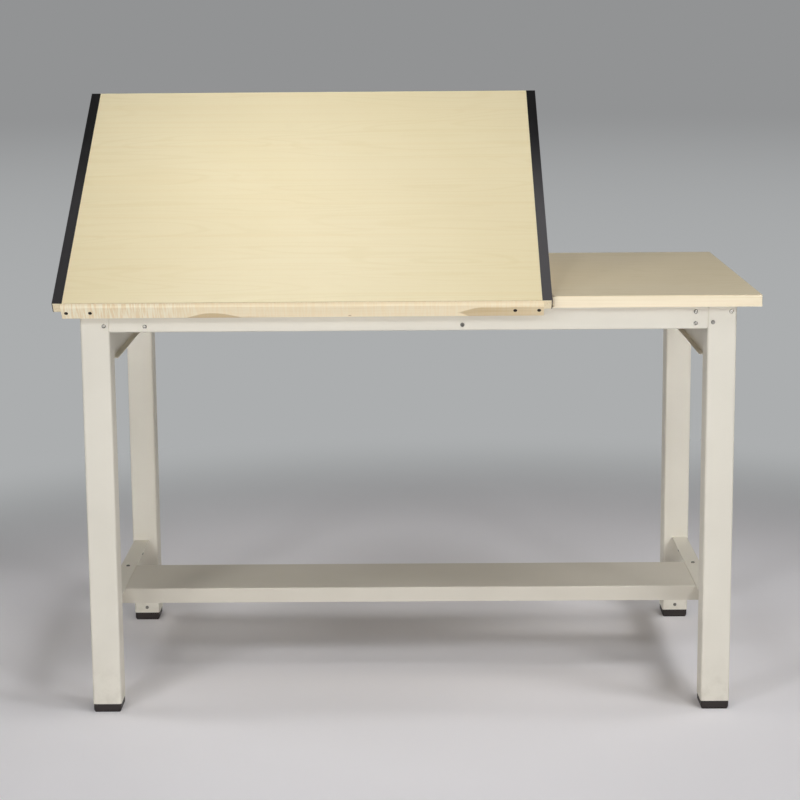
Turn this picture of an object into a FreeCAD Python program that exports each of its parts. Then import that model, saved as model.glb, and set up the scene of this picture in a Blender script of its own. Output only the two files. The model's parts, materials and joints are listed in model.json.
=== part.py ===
import FreeCAD, Part
import math
import os

os.makedirs("parts", exist_ok=True)

# Drafting table: a steel four-post base, a fixed work surface on the right and
# a larger drawing board on the left that tilts about two pivots behind its
# front edge.  Millimetres, +Z up, the user sits on the -Y side.  The origin is
# on the floor under the middle of the whole table, measured in the pose shown.

# ---- driving dimensions ------------------------------------------------------
TABLE_WIDTH = 1524.0          # over both work surfaces
TABLE_HEIGHT = 938.0          # floor to the fixed work surface
TOP_DEPTH = 740.0             # front to back, both work surfaces
TOP_THICKNESS = 25.4
BOARD_WIDTH = 1071.0          # the tilting board
BOARD_GAP = 4.0               # between the board and the fixed surface
TILT_SHOWN = 34.5             # the pose the table is built in, degrees
TILT_MOST = 45.0              # steepest setting, at the end of the arc slots

SIDE_OVERHANG = 51.0          # work surfaces beyond the legs, left and right
FRONT_OVERHANG = 17.0         # fixed surface beyond the front of the legs
LEG_SIZE = 63.5
LEG_WALL = 2.0
LEG_ROUND = 5.0
SPARE_HOLE_RADIUS = 2.5
SPARE_HOLE_DROPS = (124.6, 151.6)   # below the top of the frame, front legs only
FOOT_HEIGHT = 19.0
FOOT_TAPER = 3.0              # the foot is drawn in at the floor
FOOT_EDGE = 0.6               # and under the end of the leg
FOOT_PLUG = 26.0              # its reach up into the leg
FOOT_PLUG_WALL = 4.0
PLUG_PLAY = 0.3               # plastic plugs in the legs
TOP_PLUG_PLATE = 3.0
TOP_PLUG_SKIRT = 7.0
RAIL_HEIGHT = 50.8
RAIL_FLANGE = 25.0
TONGUE_HEIGHT = 41.0          # rail tongues, screwed inside the legs
TONGUE_ROOT = 10.0            # their overlap with the rail
SLOT_PLAY = 1.0               # room above and below a tongue in its slot
SLOT_DEPTH_PLAY = 0.3         # and behind it
SHEET = 2.0                   # gauge of all folded frame members
BEND = 1.0                    # inside radius of every fold
TOUCH = 0.05                  # seating gap between bolted members
FOLD_ROOM = BEND              # a member inside a channel clears the folds
EDGE_BAND = 1.0               # on the four sides of the fixed surface

# ---- tilting board -----------------------------------------------------------
SKIN = 1.5                    # laminate, and the steel of the board's edges
CLEAT_THICKNESS = 18.0
CLEAT_WIDTH = 72.0
REST_GAP = 0.5                # cleats above the frame when the board lies flat
PIVOT_AHEAD = 4.5             # pivot ahead of the front rail, so the apron clears it
PIVOT_ABOVE = 8.0             # pivot above the top of the frame
PIVOT_TO_EDGE = 27.5          # pivot behind the front edge of the board
STEEL_EDGE = 21.5             # width of the black strip on the work surface
APRON_THICKNESS = 16.0
APRON_INSET = 17.0            # board ends left bare beside the wooden apron
APRON_DROP = (3.0, 47.0)      # its top and bottom below the work surface
CLEAT_INSET = APRON_INSET + 2.0
CLEAT_BACK = 20.0             # cleats stop short of the back edge
APRON_SCREW_INSETS = (27.4, 78.8)   # from the ends of the board
APRON_SCREW_DROP = 5.1        # below the underside of the board
APRON_EASE = (5.0, 12.0)      # slope along its upper front edge, back and down

# ---- fasteners ---------------------------------------------------------------
SCREW_RADIUS = 2.4
SCREW_HEAD = 4.6
SCREW_RISE = 2.4
SCREW_PLAY = 0.2
SCREW_PITCH = 12.7            # screws above and below the middle of a rail
CORNER_INSET = 12.0           # frame screws from the sides of a leg
FRAME_SCREW = 9.0             # length under the head
FRAME_DRILL = 10.0            # reach of a drill through sheet members
PANEL_SCREW = 15.0            # from the frame into a work surface
PANEL_DRILL = PANEL_SCREW + 1.0
FOOT_SCREW_RADIUS = 2.2
FOOT_SCREW_HEAD = 4.2
FOOT_SCREW_RISE = 14.0        # above the bottom of the leg
WOOD_SCREW_RADIUS = 2.0
WOOD_SCREW_HEAD = 4.2
WOOD_BITE = 14.0              # wood screws into the board
APRON_BITE = 22.0             # wood screws into the ends of the cleats
EDGE_SCREW_RADIUS = 1.5
EDGE_SCREW_HEAD = 3.0
EDGE_SCREW = 16.0
SINK_PLAY = 0.15              # round a countersunk screw

# ---- sizes that follow -------------------------------------------------------
BASE_WIDTH = TABLE_WIDTH - 2 * SIDE_OVERHANG
BASE_DEPTH = TOP_DEPTH - FRONT_OVERHANG
FRAME_TOP = TABLE_HEIGHT - TOP_THICKNESS
BOARD_TOP = FRAME_TOP + REST_GAP + CLEAT_THICKNESS + TOP_THICKNESS
BOARD_UNDER = BOARD_TOP - TOP_THICKNESS
PIVOT_Z = FRAME_TOP + PIVOT_ABOVE
SHOWN = math.radians(TILT_SHOWN)
BOARD_REACH = (PIVOT_AHEAD + PIVOT_TO_EDGE * math.cos(SHOWN)
               + (BOARD_TOP - PIVOT_Z) * math.sin(SHOWN))   # ahead of the legs
FRONT = (BOARD_REACH - SCREW_RISE - BASE_DEPTH) / 2         # front of the legs
BACK = FRONT + BASE_DEPTH
MID_Y = (FRONT + BACK) / 2
PIVOT_Y = FRONT - PIVOT_AHEAD
BOARD_FRONT = PIVOT_Y - PIVOT_TO_EDGE
BOARD_BACK = BOARD_FRONT + TOP_DEPTH
TOP_FRONT = BACK - TOP_DEPTH
APRON_TOP = BOARD_TOP - APRON_DROP[0]
APRON_BOTTOM = BOARD_TOP - APRON_DROP[1]
LEG_OUT = BASE_WIDTH / 2                   # outer side of a leg
LEG_IN = LEG_OUT - LEG_SIZE                # inner side of a leg
LEG_MID = LEG_OUT - LEG_SIZE / 2
SPAN_FRONT = FRONT + LEG_SIZE              # clear span between front and back legs
SPAN_BACK = BACK - LEG_SIZE
TAB_FRONT = SPAN_FRONT + TOUCH + SHEET     # near faces of tabs bolted to the legs
TAB_BACK = SPAN_BACK - TOUCH - SHEET
RAIL_MID = FRAME_TOP - RAIL_HEIGHT / 2
TONGUE_NEAR = max(SHEET, LEG_WALL)         # a tongue lies behind the wall of the leg
BOARD_LEFT = -TABLE_WIDTH / 2
BOARD_RIGHT = BOARD_LEFT + BOARD_WIDTH
BOARD_MID = (BOARD_LEFT + BOARD_RIGHT) / 2
FIXED_LEFT = BOARD_RIGHT + BOARD_GAP
FIXED_RIGHT = TABLE_WIDTH / 2

# ---- pivots and arc plates ---------------------------------------------------
ARM_SPAN = 688.0              # between the two cross members under the board
ARM_X = (BOARD_MID - ARM_SPAN / 2, BOARD_MID + ARM_SPAN / 2)
ARM_SIDE = (1, -1)            # towards the middle of the board
ARM_HALF = 18.0
ARM_WALL = 2.5
ARM_DROP = 11.0
ARM_SHORT = 150.0             # arms end this far from the back of the board
ARM_LENGTH = TOP_DEPTH - PIVOT_TO_EDGE - ARM_SHORT
ARM_SCREW_SHARES = (0.12, 0.42, 0.68, 0.94)
NOSE_RADIUS = 7.5
PIN_RADIUS = 3.5
PIN_FIT = 0.08
PIN_SEAT = 0.03               # pin in its fork
PIN_HEAD = 6.0
PIN_HEAD_RISE = 2.0
PIN_TAIL = 4.6                # pin beyond the arm
CLIP_GROOVE = 1.2
CLIP_DEPTH = 0.8
CLIP_RADIUS = 5.9
FORK_PLATE = 2.5
FORK_GAP = 0.3                # between the fork and the walls of the arm
FORK_WALL = 3.0
FORK_FOOT = 28.0              # half the width of the fork's foot
FORK_FOOT_FRONT = 12.0        # foot starts behind the pivot
FORK_SCREW_X = 22.5
FORK_SCREW_Y = 16.0           # behind the front of the rail
FORK_SCREW = 5.0
FORK_SCREW_HEAD = 3.6
ARC_RADIUS = 150.0            # pivot to clamping bolt
ARC_HALF = 14.0
ARC_PLATE = 4.0
BOLT_RADIUS = 4.0
BOLT_PLAY = 0.3
BOLT_FIT = 0.15               # bolt in its washer and spacer
BOLT_HEAD = 10.0
BOLT_HEAD_RISE = 3.5
BOLT_LENGTH = 50.0
SPACER_RADIUS = 8.0
WASHER_RADIUS = 11.0
KNOB_HUB = 10.0
KNOB_RADIUS = 19.0
KNOB_HEIGHT = 22.0
KNOB_GRIP = 16.0              # height of the lobed part
KNOB_LOBES = 6
FLUTE_RADIUS = 7.0
FLUTE_CENTRE = 22.5
RIVET_RADIUS = 2.5
RIVET_HEAD = 3.8
RIVET_RISE = 1.5
RIVET_OFFSETS = (-20.0, 14.0)  # along the arm, from the arc's radius
BOLT_DROP = PIVOT_Z - RAIL_MID
BOLT_ANGLE = math.degrees(math.asin(BOLT_DROP / ARC_RADIUS))
BOLT_Y = PIVOT_Y + ARC_RADIUS * math.cos(math.radians(BOLT_ANGLE))
WASHER_ROOM = 2.0             # between an arc plate and the web beside it
WEB_NEAR = ARM_HALF - ARM_WALL + WASHER_ROOM   # web from the middle of the arm
WEB_THICKNESS = 2.5
WEB_FAR = WEB_NEAR + WEB_THICKNESS
CROSS_FLANGE = 22.0
CROSS_TAB = 12.0              # end tab beyond the line of its screws
CROSS_INSET = 140.0           # right cross member from the end of the table
CROSS_X = TABLE_WIDTH / 2 - CROSS_INSET

# ---- footrest and lower rails ------------------------------------------------
LOW_RAIL_TOP = 212.4
LOW_RAIL_HEIGHT = 45.0
LOW_RAIL_WIDTH = 38.2
LOW_RAIL_INSET = 3.0
LOW_RAIL_LIP = 8.0
LOW_TAB_SHORT = 4.0           # its end tabs stop short of the flange's edge
LOW_SCREW_DROPS = (14.0, 34.0)
SHELF_DEPTH = 196.0
SHELF_SET_BACK = 247.0        # behind the front of the legs
SHELF_FRONT = FRONT + SHELF_SET_BACK
SHELF_HEIGHT = 35.0
SHELF_SCREW_INSET = 16.0
SHELF_SIDE_GAP = 2.0          # shelf to the webs of the lower rails

# ---- side aprons -------------------------------------------------------------
SIDE_APRON_HEIGHT = 118.6
SIDE_APRON_BOTTOM = FRAME_TOP - SIDE_APRON_HEIGHT
SIDE_APRON_SET = 6.5          # outer face of the sheet, outside the legs' inner sides
APRON_SHEET_X = LEG_IN + SIDE_APRON_SET
SIDE_TOP_FLANGE = 27.0
SIDE_LOW_FLANGE = 14.0
SIDE_END_FLANGE = 26.0
SIDE_END_SHORT = (8.0, 12.0)  # end flanges stop short of the bottom and the top
SIDE_SCREW_ENDS = (25.0, 30.0)  # their screws from the bottom and the top

X_AXIS = FreeCAD.Vector(1, 0, 0)
Y_AXIS = FreeCAD.Vector(0, 1, 0)
Z_AXIS = FreeCAD.Vector(0, 0, 1)


# ---- small helpers -----------------------------------------------------------
def vec(x, y, z):
    return FreeCAD.Vector(x, y, z)


def block(x0, x1, y0, y1, z0, z1):
    """Box between two corners, given in any order."""
    low = vec(min(x0, x1), min(y0, y1), min(z0, z1))
    return Part.makeBox(abs(x1 - x0), abs(y1 - y0), abs(z1 - z0), low)


def rod(start, direction, radius, length):
    return Part.makeCylinder(radius, length, start, direction)


def rounded_face(points, radii):
    """Flat face from corner points in one plane, each corner with its radius."""
    count = len(points)
    edges = []
    ends = []
    for i in range(count):
        before = points[i - 1] - points[i]
        after = points[(i + 1) % count] - points[i]
        before.normalize()
        after.normalize()
        half = before.getAngle(after) / 2
        if radii[i] <= 0:
            ends.append((points[i], points[i]))
            continue
        reach = radii[i] / math.tan(half)
        middle = before + after
        middle.normalize()
        enter = points[i] + before * reach
        leave = points[i] + after * reach
        crown = points[i] + middle * (radii[i] / math.sin(half) - radii[i])
        ends.append((enter, leave))
        edges.append(Part.Arc(enter, crown, leave).toShape())
    for i in range(count):
        start = ends[i][1]
        stop = ends[(i + 1) % count][0]
        if start.distanceToPoint(stop) > 1e-6:
            edges.append(Part.makeLine(start, stop))
    return Part.Face(Part.Wire(Part.__sortEdges__(edges)))


def folded_sheet(path, gauge, place, run):
    """Folded sheet metal.

    path is the line of one face as (u, v) pairs, the sheet lies to the left
    of it; place turns (u, v) into a point and run is the length and direction.
    """
    offset = []
    turns = []
    for i, (u, v) in enumerate(path):
        u0, v0 = path[max(i - 1, 0)]
        u1, v1 = path[min(i + 1, len(path) - 1)]
        a = math.atan2(v - v0, u - u0) if i > 0 else math.atan2(v1 - v, u1 - u)
        b = math.atan2(v1 - v, u1 - u) if i < len(path) - 1 else a
        half = (b - a) / 2
        if abs(half) > math.pi / 2:
            half -= math.copysign(math.pi, half)
        normal = a + half + math.pi / 2
        reach = gauge / math.cos(half)
        offset.append((u + reach * math.cos(normal), v + reach * math.sin(normal)))
        turns.append(half)
    near = [BEND + gauge if t > 0.01 else BEND if t < -0.01 else 0 for t in turns]
    far = [BEND if t > 0.01 else BEND + gauge if t < -0.01 else 0 for t in turns]
    corners = [place(u, v) for u, v in path + offset[::-1]]
    return rounded_face(corners, near + far[::-1]).extrude(run)


def mirrored(shape):
    """The same piece on the other side of the table."""
    return shape.mirror(vec(0, 0, 0), X_AXIS)


def tilted(shape):
    """A piece drawn with the board flat, turned to the pose shown."""
    turned = shape.copy()
    turned.rotate(vec(0, PIVOT_Y, PIVOT_Z), X_AXIS, TILT_SHOWN)
    return turned


def aimed(shape, point, direction):
    """A piece drawn along +Z from the origin, moved to a point and direction."""
    placed = shape.copy()
    turn = FreeCAD.Rotation(Z_AXIS, direction)
    placed.Placement = FreeCAD.Placement(point, turn)
    return placed


def drilled(shape, screws, reach=FRAME_DRILL):
    """Take a clearance hole out of a piece for each screw's (point, direction)."""
    radius = SCREW_RADIUS + SCREW_PLAY
    drills = [rod(p - d * reach, d, radius, 2 * reach) for p, d in screws]
    return shape.cut(Part.makeCompound(drills)) if drills else shape


def save(name, pieces):
    """Write one named node; a list becomes a group of separate solids."""
    shape = pieces if not isinstance(pieces, list) else Part.makeCompound(pieces)
    if len(shape.Solids) == 1:
        shape = shape.Solids[0]
    shape.exportStep("parts/" + name + ".step")


# ---- fasteners ---------------------------------------------------------------
def pan_screw(length, radius=SCREW_RADIUS, head=SCREW_HEAD, rise=SCREW_RISE):
    """Pan-head screw with a cross recess: seat on z = 0, shank along +Z."""
    cap = Part.makeCylinder(head, rise, vec(0, 0, -rise))
    crown = [e for e in cap.Edges if abs(e.BoundBox.ZMax + rise) < 1e-3]
    cap = cap.makeFillet(0.55 * rise, crown)
    shank = Part.makeCylinder(radius, length, vec(0, 0, -0.1))
    slot = 0.28 * radius
    arm = 0.55 * head
    recess = block(-arm, arm, -slot, slot, -rise, -0.55 * rise)
    recess = recess.fuse(block(-slot, slot, -arm, arm, -rise, -0.55 * rise))
    return cap.fuse(shank).removeSplitter().cut(recess)


def flat_screw(length, radius, head):
    """Countersunk screw: flat head level with z = 0, shank along +Z."""
    sink = head - radius
    cone = Part.makeCone(head, radius, sink)
    shank = Part.makeCylinder(radius, length)
    slot = 0.28 * radius
    arm = 0.6 * head
    recess = block(-arm, arm, -slot, slot, 0, 0.5 * sink)
    recess = recess.fuse(block(-slot, slot, -arm, arm, 0, 0.5 * sink))
    return cone.fuse(shank).removeSplitter().cut(recess)


def sink_hole(point, direction, radius, head, length):
    """Room for a countersunk screw, a little larger than the screw."""
    cone = Part.makeCone(head + SINK_PLAY, radius + SINK_PLAY, head - radius)
    lead = Part.makeCylinder(head + SINK_PLAY, 1.0, vec(0, 0, -1.0))
    bore = Part.makeCylinder(radius + SINK_PLAY, length)
    return aimed(cone.fuse([lead, bore]), point, direction)


# ---- screw positions, shared by the screws and the members they hold --------
def cross_members():
    """Middle and web side of the three front-to-back members."""
    return [(ARM_X[0], ARM_SIDE[0]), (ARM_X[1], ARM_SIDE[1]), (CROSS_X, -1)]


def rail_screws():
    """Screws through the rails into the cross members."""
    out = []
    for x, _ in cross_members():
        for dz in (-SCREW_PITCH, SCREW_PITCH):
            out.append((vec(x, FRONT, RAIL_MID + dz), Y_AXIS))
            out.append((vec(x, BACK, RAIL_MID + dz), -Y_AXIS))
    return out


def corner_screws():
    """Two screws set diagonally in each leg, into the tongues of the rails."""
    out = []
    low = RAIL_MID - SCREW_PITCH + 2
    high = RAIL_MID + SCREW_PITCH
    for side in (-1, 1):
        for y, aim in ((FRONT, Y_AXIS), (BACK, -Y_AXIS)):
            out.append((vec(side * (LEG_OUT - CORNER_INSET), y, high), aim))
            out.append((vec(side * (LEG_IN + CORNER_INSET), y, low), aim))
    return out


def side_apron_screws():
    """Screws through the end flanges of the side aprons into the legs."""
    x = APRON_SHEET_X + SIDE_END_FLANGE / 2
    out = []
    for side in (-1, 1):
        for z in (SIDE_APRON_BOTTOM + SIDE_SCREW_ENDS[0], FRAME_TOP - SIDE_SCREW_ENDS[1]):
            for y, aim in ((TAB_FRONT, -Y_AXIS), (TAB_BACK, Y_AXIS)):
                out.append((vec(side * x, y, z), aim))
    return out


def low_rail_screws():
    """Screws through the end tabs of the lower side rails into the legs."""
    x = LEG_OUT - LOW_RAIL_INSET - LOW_RAIL_WIDTH / 2
    out = []
    for side in (-1, 1):
        for z in [LOW_RAIL_TOP - drop for drop in LOW_SCREW_DROPS]:
            for y, aim in ((TAB_FRONT, -Y_AXIS), (TAB_BACK, Y_AXIS)):
                out.append((vec(side * x, y, z), aim))
    return out


def shelf_screws():
    """Screws down through the lower side rails into the footrest."""
    x = LEG_OUT - LOW_RAIL_INSET - LOW_RAIL_WIDTH / 2
    out = []
    for side in (-1, 1):
        for y in (SHELF_FRONT + SHELF_SCREW_INSET,
                  SHELF_FRONT + SHELF_DEPTH - SHELF_SCREW_INSET):
            out.append((vec(side * x, y, LOW_RAIL_TOP), -Z_AXIS))
    return out


def foot_screws():
    """One screw into each foot, on the face of the leg turned inwards."""
    out = []
    for side in (-1, 1):
        for y, aim in ((SPAN_FRONT, -Y_AXIS), (SPAN_BACK, Y_AXIS)):
            out.append((vec(side * LEG_MID, y, FOOT_HEIGHT + FOOT_SCREW_RISE), aim))
    return out


def top_screws():
    """Screws up into the fixed surface, from the rails and the side apron."""
    out = []
    width = FIXED_RIGHT - FIXED_LEFT
    for share in (0.12, 0.38, 0.56):
        x = FIXED_LEFT + share * width
        for y in (FRONT + RAIL_FLANGE - 8, BACK - RAIL_FLANGE + 8):
            out.append((vec(x, y, FRAME_TOP - SHEET), Z_AXIS))
    x = APRON_SHEET_X - SIDE_TOP_FLANGE + 11
    for share in (-0.24, 0.0, 0.24):
        out.append((vec(x, MID_Y + share * BASE_DEPTH, FRAME_TOP - SHEET), Z_AXIS))
    return out


def fork_screws():
    """Screws through the foot of each pivot fork into the front rail."""
    out = []
    for x in ARM_X:
        for dx in (-FORK_SCREW_X, FORK_SCREW_X):
            seat = vec(x + dx, FRONT + FORK_SCREW_Y, FRAME_TOP + TOUCH + FORK_PLATE)
            out.append((seat, -Z_AXIS))
    return out


def arm_screws():
    """Screws up through each board arm, drawn with the board flat."""
    out = []
    for x in ARM_X:
        for share in ARM_SCREW_SHARES:
            y = PIVOT_Y + share * ARM_LENGTH
            out.append((vec(x, y, BOARD_UNDER - ARM_WALL), Z_AXIS))
    return out


def cleat_mids():
    inset = CLEAT_INSET + CLEAT_WIDTH / 2
    return (BOARD_LEFT + inset, BOARD_RIGHT - inset)


def cleat_screws():
    """Countersunk screws up through the cleats, drawn with the board flat."""
    out = []
    length = BOARD_BACK - CLEAT_BACK - BOARD_FRONT - APRON_THICKNESS
    for x in cleat_mids():
        for share in (0.12, 0.37, 0.62, 0.88):
            y = BOARD_FRONT + APRON_THICKNESS + share * length
            out.append(vec(x, y, BOARD_UNDER - CLEAT_THICKNESS))
    return out


def apron_screws():
    """Countersunk screws through the wooden apron into the cleats."""
    out = []
    for x, side in ((BOARD_LEFT, 1), (BOARD_RIGHT, -1)):
        for inset in APRON_SCREW_INSETS:
            out.append(vec(x + side * inset, BOARD_FRONT, BOARD_UNDER - APRON_SCREW_DROP))
    return out


def edge_screws():
    """Countersunk screws through the steel edges into the sides of the board."""
    out = []
    for x, aim in ((BOARD_LEFT, X_AXIS), (BOARD_RIGHT, -X_AXIS)):
        for share in (0.06, 0.28, 0.5, 0.72, 0.94):
            y = BOARD_FRONT + share * TOP_DEPTH
            out.append((vec(x, y, BOARD_TOP - 0.5 * TOP_THICKNESS), aim))
    return out


# ---- steel base --------------------------------------------------------------
def leg_square(front, inset, z, rounding):
    """Level square inside a left leg's outline, drawn in by an inset."""
    y0 = FRONT if front else BACK - LEG_SIZE
    x0, x1 = -LEG_OUT + inset, -LEG_IN - inset
    y2, y3 = y0 + inset, y0 + LEG_SIZE - inset
    corners = [vec(x0, y2, z), vec(x1, y2, z), vec(x1, y3, z), vec(x0, y3, z)]
    return rounded_face(corners, [rounding] * 4)


def leg(front):
    """Left leg: square tube with slots for the rail tongues and screw holes."""
    y0 = FRONT if front else BACK - LEG_SIZE
    up = Z_AXIS * (FRAME_TOP - FOOT_HEIGHT)
    tube = leg_square(front, 0, FOOT_HEIGHT, LEG_ROUND).extrude(up)
    inside = leg_square(front, LEG_WALL, FOOT_HEIGHT, max(LEG_ROUND - LEG_WALL, 0))
    tube = tube.cut(inside.extrude(up))
    inward = 1 if front else -1
    near = (FRONT if front else BACK) + inward * TONGUE_NEAR
    reach = TONGUE_HEIGHT / 2 + SLOT_PLAY
    slot = block(-LEG_IN - LEG_WALL - LEG_ROUND, -LEG_IN + 1, near - inward * 0.1,
                 near + inward * (SHEET + SLOT_DEPTH_PLAY), RAIL_MID - reach, RAIL_MID + reach)
    tube = tube.cut(slot)
    screws = corner_screws() + side_apron_screws() + low_rail_screws() + foot_screws()
    tube = drilled(tube, [h for h in screws if h[0].x < 0 and y0 - 5 < h[0].y < y0 + LEG_SIZE + 5])
    if front:
        spare = [rod(vec(-LEG_IN - 2 * LEG_WALL, y0 + LEG_SIZE / 2, FRAME_TOP - drop),
                     X_AXIS, SPARE_HOLE_RADIUS, 10) for drop in SPARE_HOLE_DROPS]
        tube = tube.cut(Part.makeCompound(spare))
    return tube


def foot(front):
    """Left plastic foot: tapered cap below the leg and a hollow plug inside it."""
    knee = FOOT_HEIGHT / 4
    base = Part.makeLoft([leg_square(front, FOOT_TAPER, 0, LEG_ROUND - 1).Wires[0],
                          leg_square(front, FOOT_TAPER / 3, knee, LEG_ROUND).Wires[0],
                          leg_square(front, FOOT_EDGE, FOOT_HEIGHT, LEG_ROUND).Wires[0]],
                         True, True)
    fit = LEG_WALL + PLUG_PLAY
    plug = leg_square(front, fit, FOOT_HEIGHT, 2.5).extrude(Z_AXIS * FOOT_PLUG)
    hollow = leg_square(front, fit + FOOT_PLUG_WALL, FOOT_HEIGHT, 1.5)
    plug = plug.cut(hollow.extrude(Z_AXIS * (FOOT_PLUG + 1)))
    mid_y = FRONT + LEG_SIZE / 2 if front else BACK - LEG_SIZE / 2
    near = [h for h in foot_screws() if h[0].x < 0 and abs(h[0].y - mid_y) < LEG_SIZE]
    return drilled(base.fuse(plug).removeSplitter(), near)


def leg_plug(front):
    """Plastic plug closing the top of a left leg, where no surface covers it."""
    fit = LEG_WALL + PLUG_PLAY
    plate_low = FRAME_TOP - TOP_PLUG_PLATE
    low = plate_low - TOP_PLUG_SKIRT
    plate = leg_square(front, fit, plate_low, 2.5).extrude(Z_AXIS * TOP_PLUG_PLATE)
    skirt = leg_square(front, fit + 3, low, 2.0).extrude(Z_AXIS * (TOP_PLUG_SKIRT + 1))
    hollow = leg_square(front, fit + 5, low, 1.0).extrude(Z_AXIS * TOP_PLUG_SKIRT)
    return plate.fuse(skirt.cut(hollow)).removeSplitter()


def rail(front):
    """Channel between two legs, with a flat tongue reaching into each leg."""
    y = FRONT if front else BACK
    inward = 1 if front else -1
    low = FRAME_TOP - RAIL_HEIGHT
    half = LEG_IN - TOUCH
    tip = y + inward * RAIL_FLANGE
    path = [(tip, FRAME_TOP), (y, FRAME_TOP), (y, low), (tip, low)]
    path = path if front else path[::-1]
    channel = folded_sheet(path, SHEET, lambda u, v: vec(-half, u, v), X_AXIS * 2 * half)
    near = y + inward * TONGUE_NEAR
    far = near + inward * SHEET
    reach = LEG_OUT - LEG_WALL - LEG_ROUND
    low_z, high_z = RAIL_MID - TONGUE_HEIGHT / 2, RAIL_MID + TONGUE_HEIGHT / 2
    tongues = []
    for side in (-1, 1):
        root = side * (LEG_IN - TONGUE_ROOT)
        tongues.append(block(root, side * reach, near, far, low_z, high_z))
        tongues.append(block(root, side * half, y + inward * SHEET, far, low_z, high_z))
    channel = channel.fuse(tongues).removeSplitter()
    holes = [h for h in rail_screws() + corner_screws() if abs(h[0].y - y) < 1]
    holes += [h for h in top_screws() if abs(h[0].y - y) < RAIL_FLANGE]
    if front:
        holes += fork_screws()
    return drilled(channel, holes)


def side_apron():
    """Left side panel under the top frame, folded on all four sides."""
    x = -APRON_SHEET_X
    y0, y1 = SPAN_FRONT + TOUCH, SPAN_BACK - TOUCH
    path = [(x + SIDE_TOP_FLANGE, FRAME_TOP), (x, FRAME_TOP),
            (x, SIDE_APRON_BOTTOM), (x + SIDE_LOW_FLANGE, SIDE_APRON_BOTTOM)]
    panel = folded_sheet(path, SHEET, lambda u, v: vec(u, y0, v), Y_AXIS * (y1 - y0))
    ends = [block(x - SIDE_END_FLANGE, x + 1, y, y + inward * SHEET,
                  SIDE_APRON_BOTTOM + SIDE_END_SHORT[0], FRAME_TOP - SIDE_END_SHORT[1])
            for y, inward in ((y0, 1), (y1, -1))]
    panel = panel.fuse(ends).removeSplitter()
    return drilled(panel, [h for h in side_apron_screws() if h[0].x < 0])


def right_side_apron():
    panel = mirrored(side_apron())
    return drilled(panel, [h for h in top_screws() if h[0].x > LEG_IN - SIDE_TOP_FLANGE])


def low_side_rail():
    """Left lower rail: top flange for the footrest and a web on the outside."""
    x = -LEG_OUT + LOW_RAIL_INSET
    y0, y1 = SPAN_FRONT + TOUCH, SPAN_BACK - TOUCH
    path = [(x + LOW_RAIL_WIDTH, LOW_RAIL_TOP), (x, LOW_RAIL_TOP),
            (x, LOW_RAIL_TOP - LOW_RAIL_HEIGHT),
            (x + LOW_RAIL_LIP, LOW_RAIL_TOP - LOW_RAIL_HEIGHT)]
    angle = folded_sheet(path, SHEET, lambda u, v: vec(u, y0, v), Y_AXIS * (y1 - y0))
    tabs = [block(x + 1, x + LOW_RAIL_WIDTH - LOW_TAB_SHORT, y, y + inward * SHEET,
                  LOW_RAIL_TOP - LOW_RAIL_HEIGHT + 3, LOW_RAIL_TOP - 1)
            for y, inward in ((y0, 1), (y1, -1))]
    angle = angle.fuse(tabs).removeSplitter()
    return drilled(angle, [h for h in low_rail_screws() + shelf_screws() if h[0].x < 0])


def footrest():
    """Shelf with a turned-down flange at the front and at the back."""
    top = LOW_RAIL_TOP - SHEET - TOUCH
    half = LEG_OUT - LOW_RAIL_INSET - SHEET - SHELF_SIDE_GAP
    y1 = SHELF_FRONT + SHELF_DEPTH
    low = top - SHELF_HEIGHT
    path = [(y1, low), (y1, top), (SHELF_FRONT, top), (SHELF_FRONT, low)]
    sheet = folded_sheet(path, SHEET, lambda u, v: vec(-half, u, v), X_AXIS * 2 * half)
    return drilled(sheet, shelf_screws())


def cross_member(x, side):
    """Front-to-back channel between the rails; its web faces the arm's middle."""
    y0 = FRONT + SHEET + TOUCH
    y1 = BACK - SHEET - TOUCH
    low = FRAME_TOP - RAIL_HEIGHT + SHEET + FOLD_ROOM
    top = FRAME_TOP - SHEET - FOLD_ROOM
    out = WEB_FAR + CROSS_FLANGE
    path = [(out, top), (WEB_NEAR, top), (WEB_NEAR, low), (out, low)]
    channel = folded_sheet(path, WEB_THICKNESS, lambda u, v: vec(x + side * u, y0, v),
                           Y_AXIS * (y1 - y0))
    tabs = [block(x - side * CROSS_TAB, x + side * (WEB_NEAR + 1), y, y + inward * WEB_THICKNESS,
                  low + 2, top - 2) for y, inward in ((y0, 1), (y1, -1))]
    channel = channel.fuse(tabs).removeSplitter()
    return drilled(channel, [h for h in rail_screws() if abs(h[0].x - x) < 1])


def arm_member(x, side):
    """Cross member under the board, with the hole for its clamping bolt."""
    hole = rod(vec(x, BOLT_Y, RAIL_MID), X_AXIS * side, BOLT_RADIUS + SCREW_PLAY, 30)
    return cross_member(x, side).cut(hole)


# ---- pivots and clamps -------------------------------------------------------
def pivot_fork(x):
    """Fork on the front rail: a foot plate and two ears that carry the pin."""
    half = ARM_HALF - ARM_WALL - FORK_GAP
    radius = NOSE_RADIUS - 0.5
    seat = FRAME_TOP + TOUCH
    back = FRONT + RAIL_FLANGE - 1
    plate = block(x - FORK_FOOT, x + FORK_FOOT, PIVOT_Y + FORK_FOOT_FRONT, back,
                  seat, seat + FORK_PLATE)
    parts = []
    for side in (-1, 1):
        start = vec(x + side * half, PIVOT_Y, PIVOT_Z)
        parts.append(rod(start, X_AXIS * -side, radius, FORK_WALL))
        parts.append(block(start.x, start.x - side * FORK_WALL, PIVOT_Y, back,
                           seat, PIVOT_Z + PIN_RADIUS / 2))
    fork = plate.fuse(parts).removeSplitter()
    bore = rod(vec(x - FORK_FOOT, PIVOT_Y, PIVOT_Z), X_AXIS, PIN_RADIUS + PIN_SEAT, 2 * FORK_FOOT)
    return drilled(fork.cut(bore), [h for h in fork_screws() if abs(h[0].x - x) < FORK_FOOT])


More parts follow.
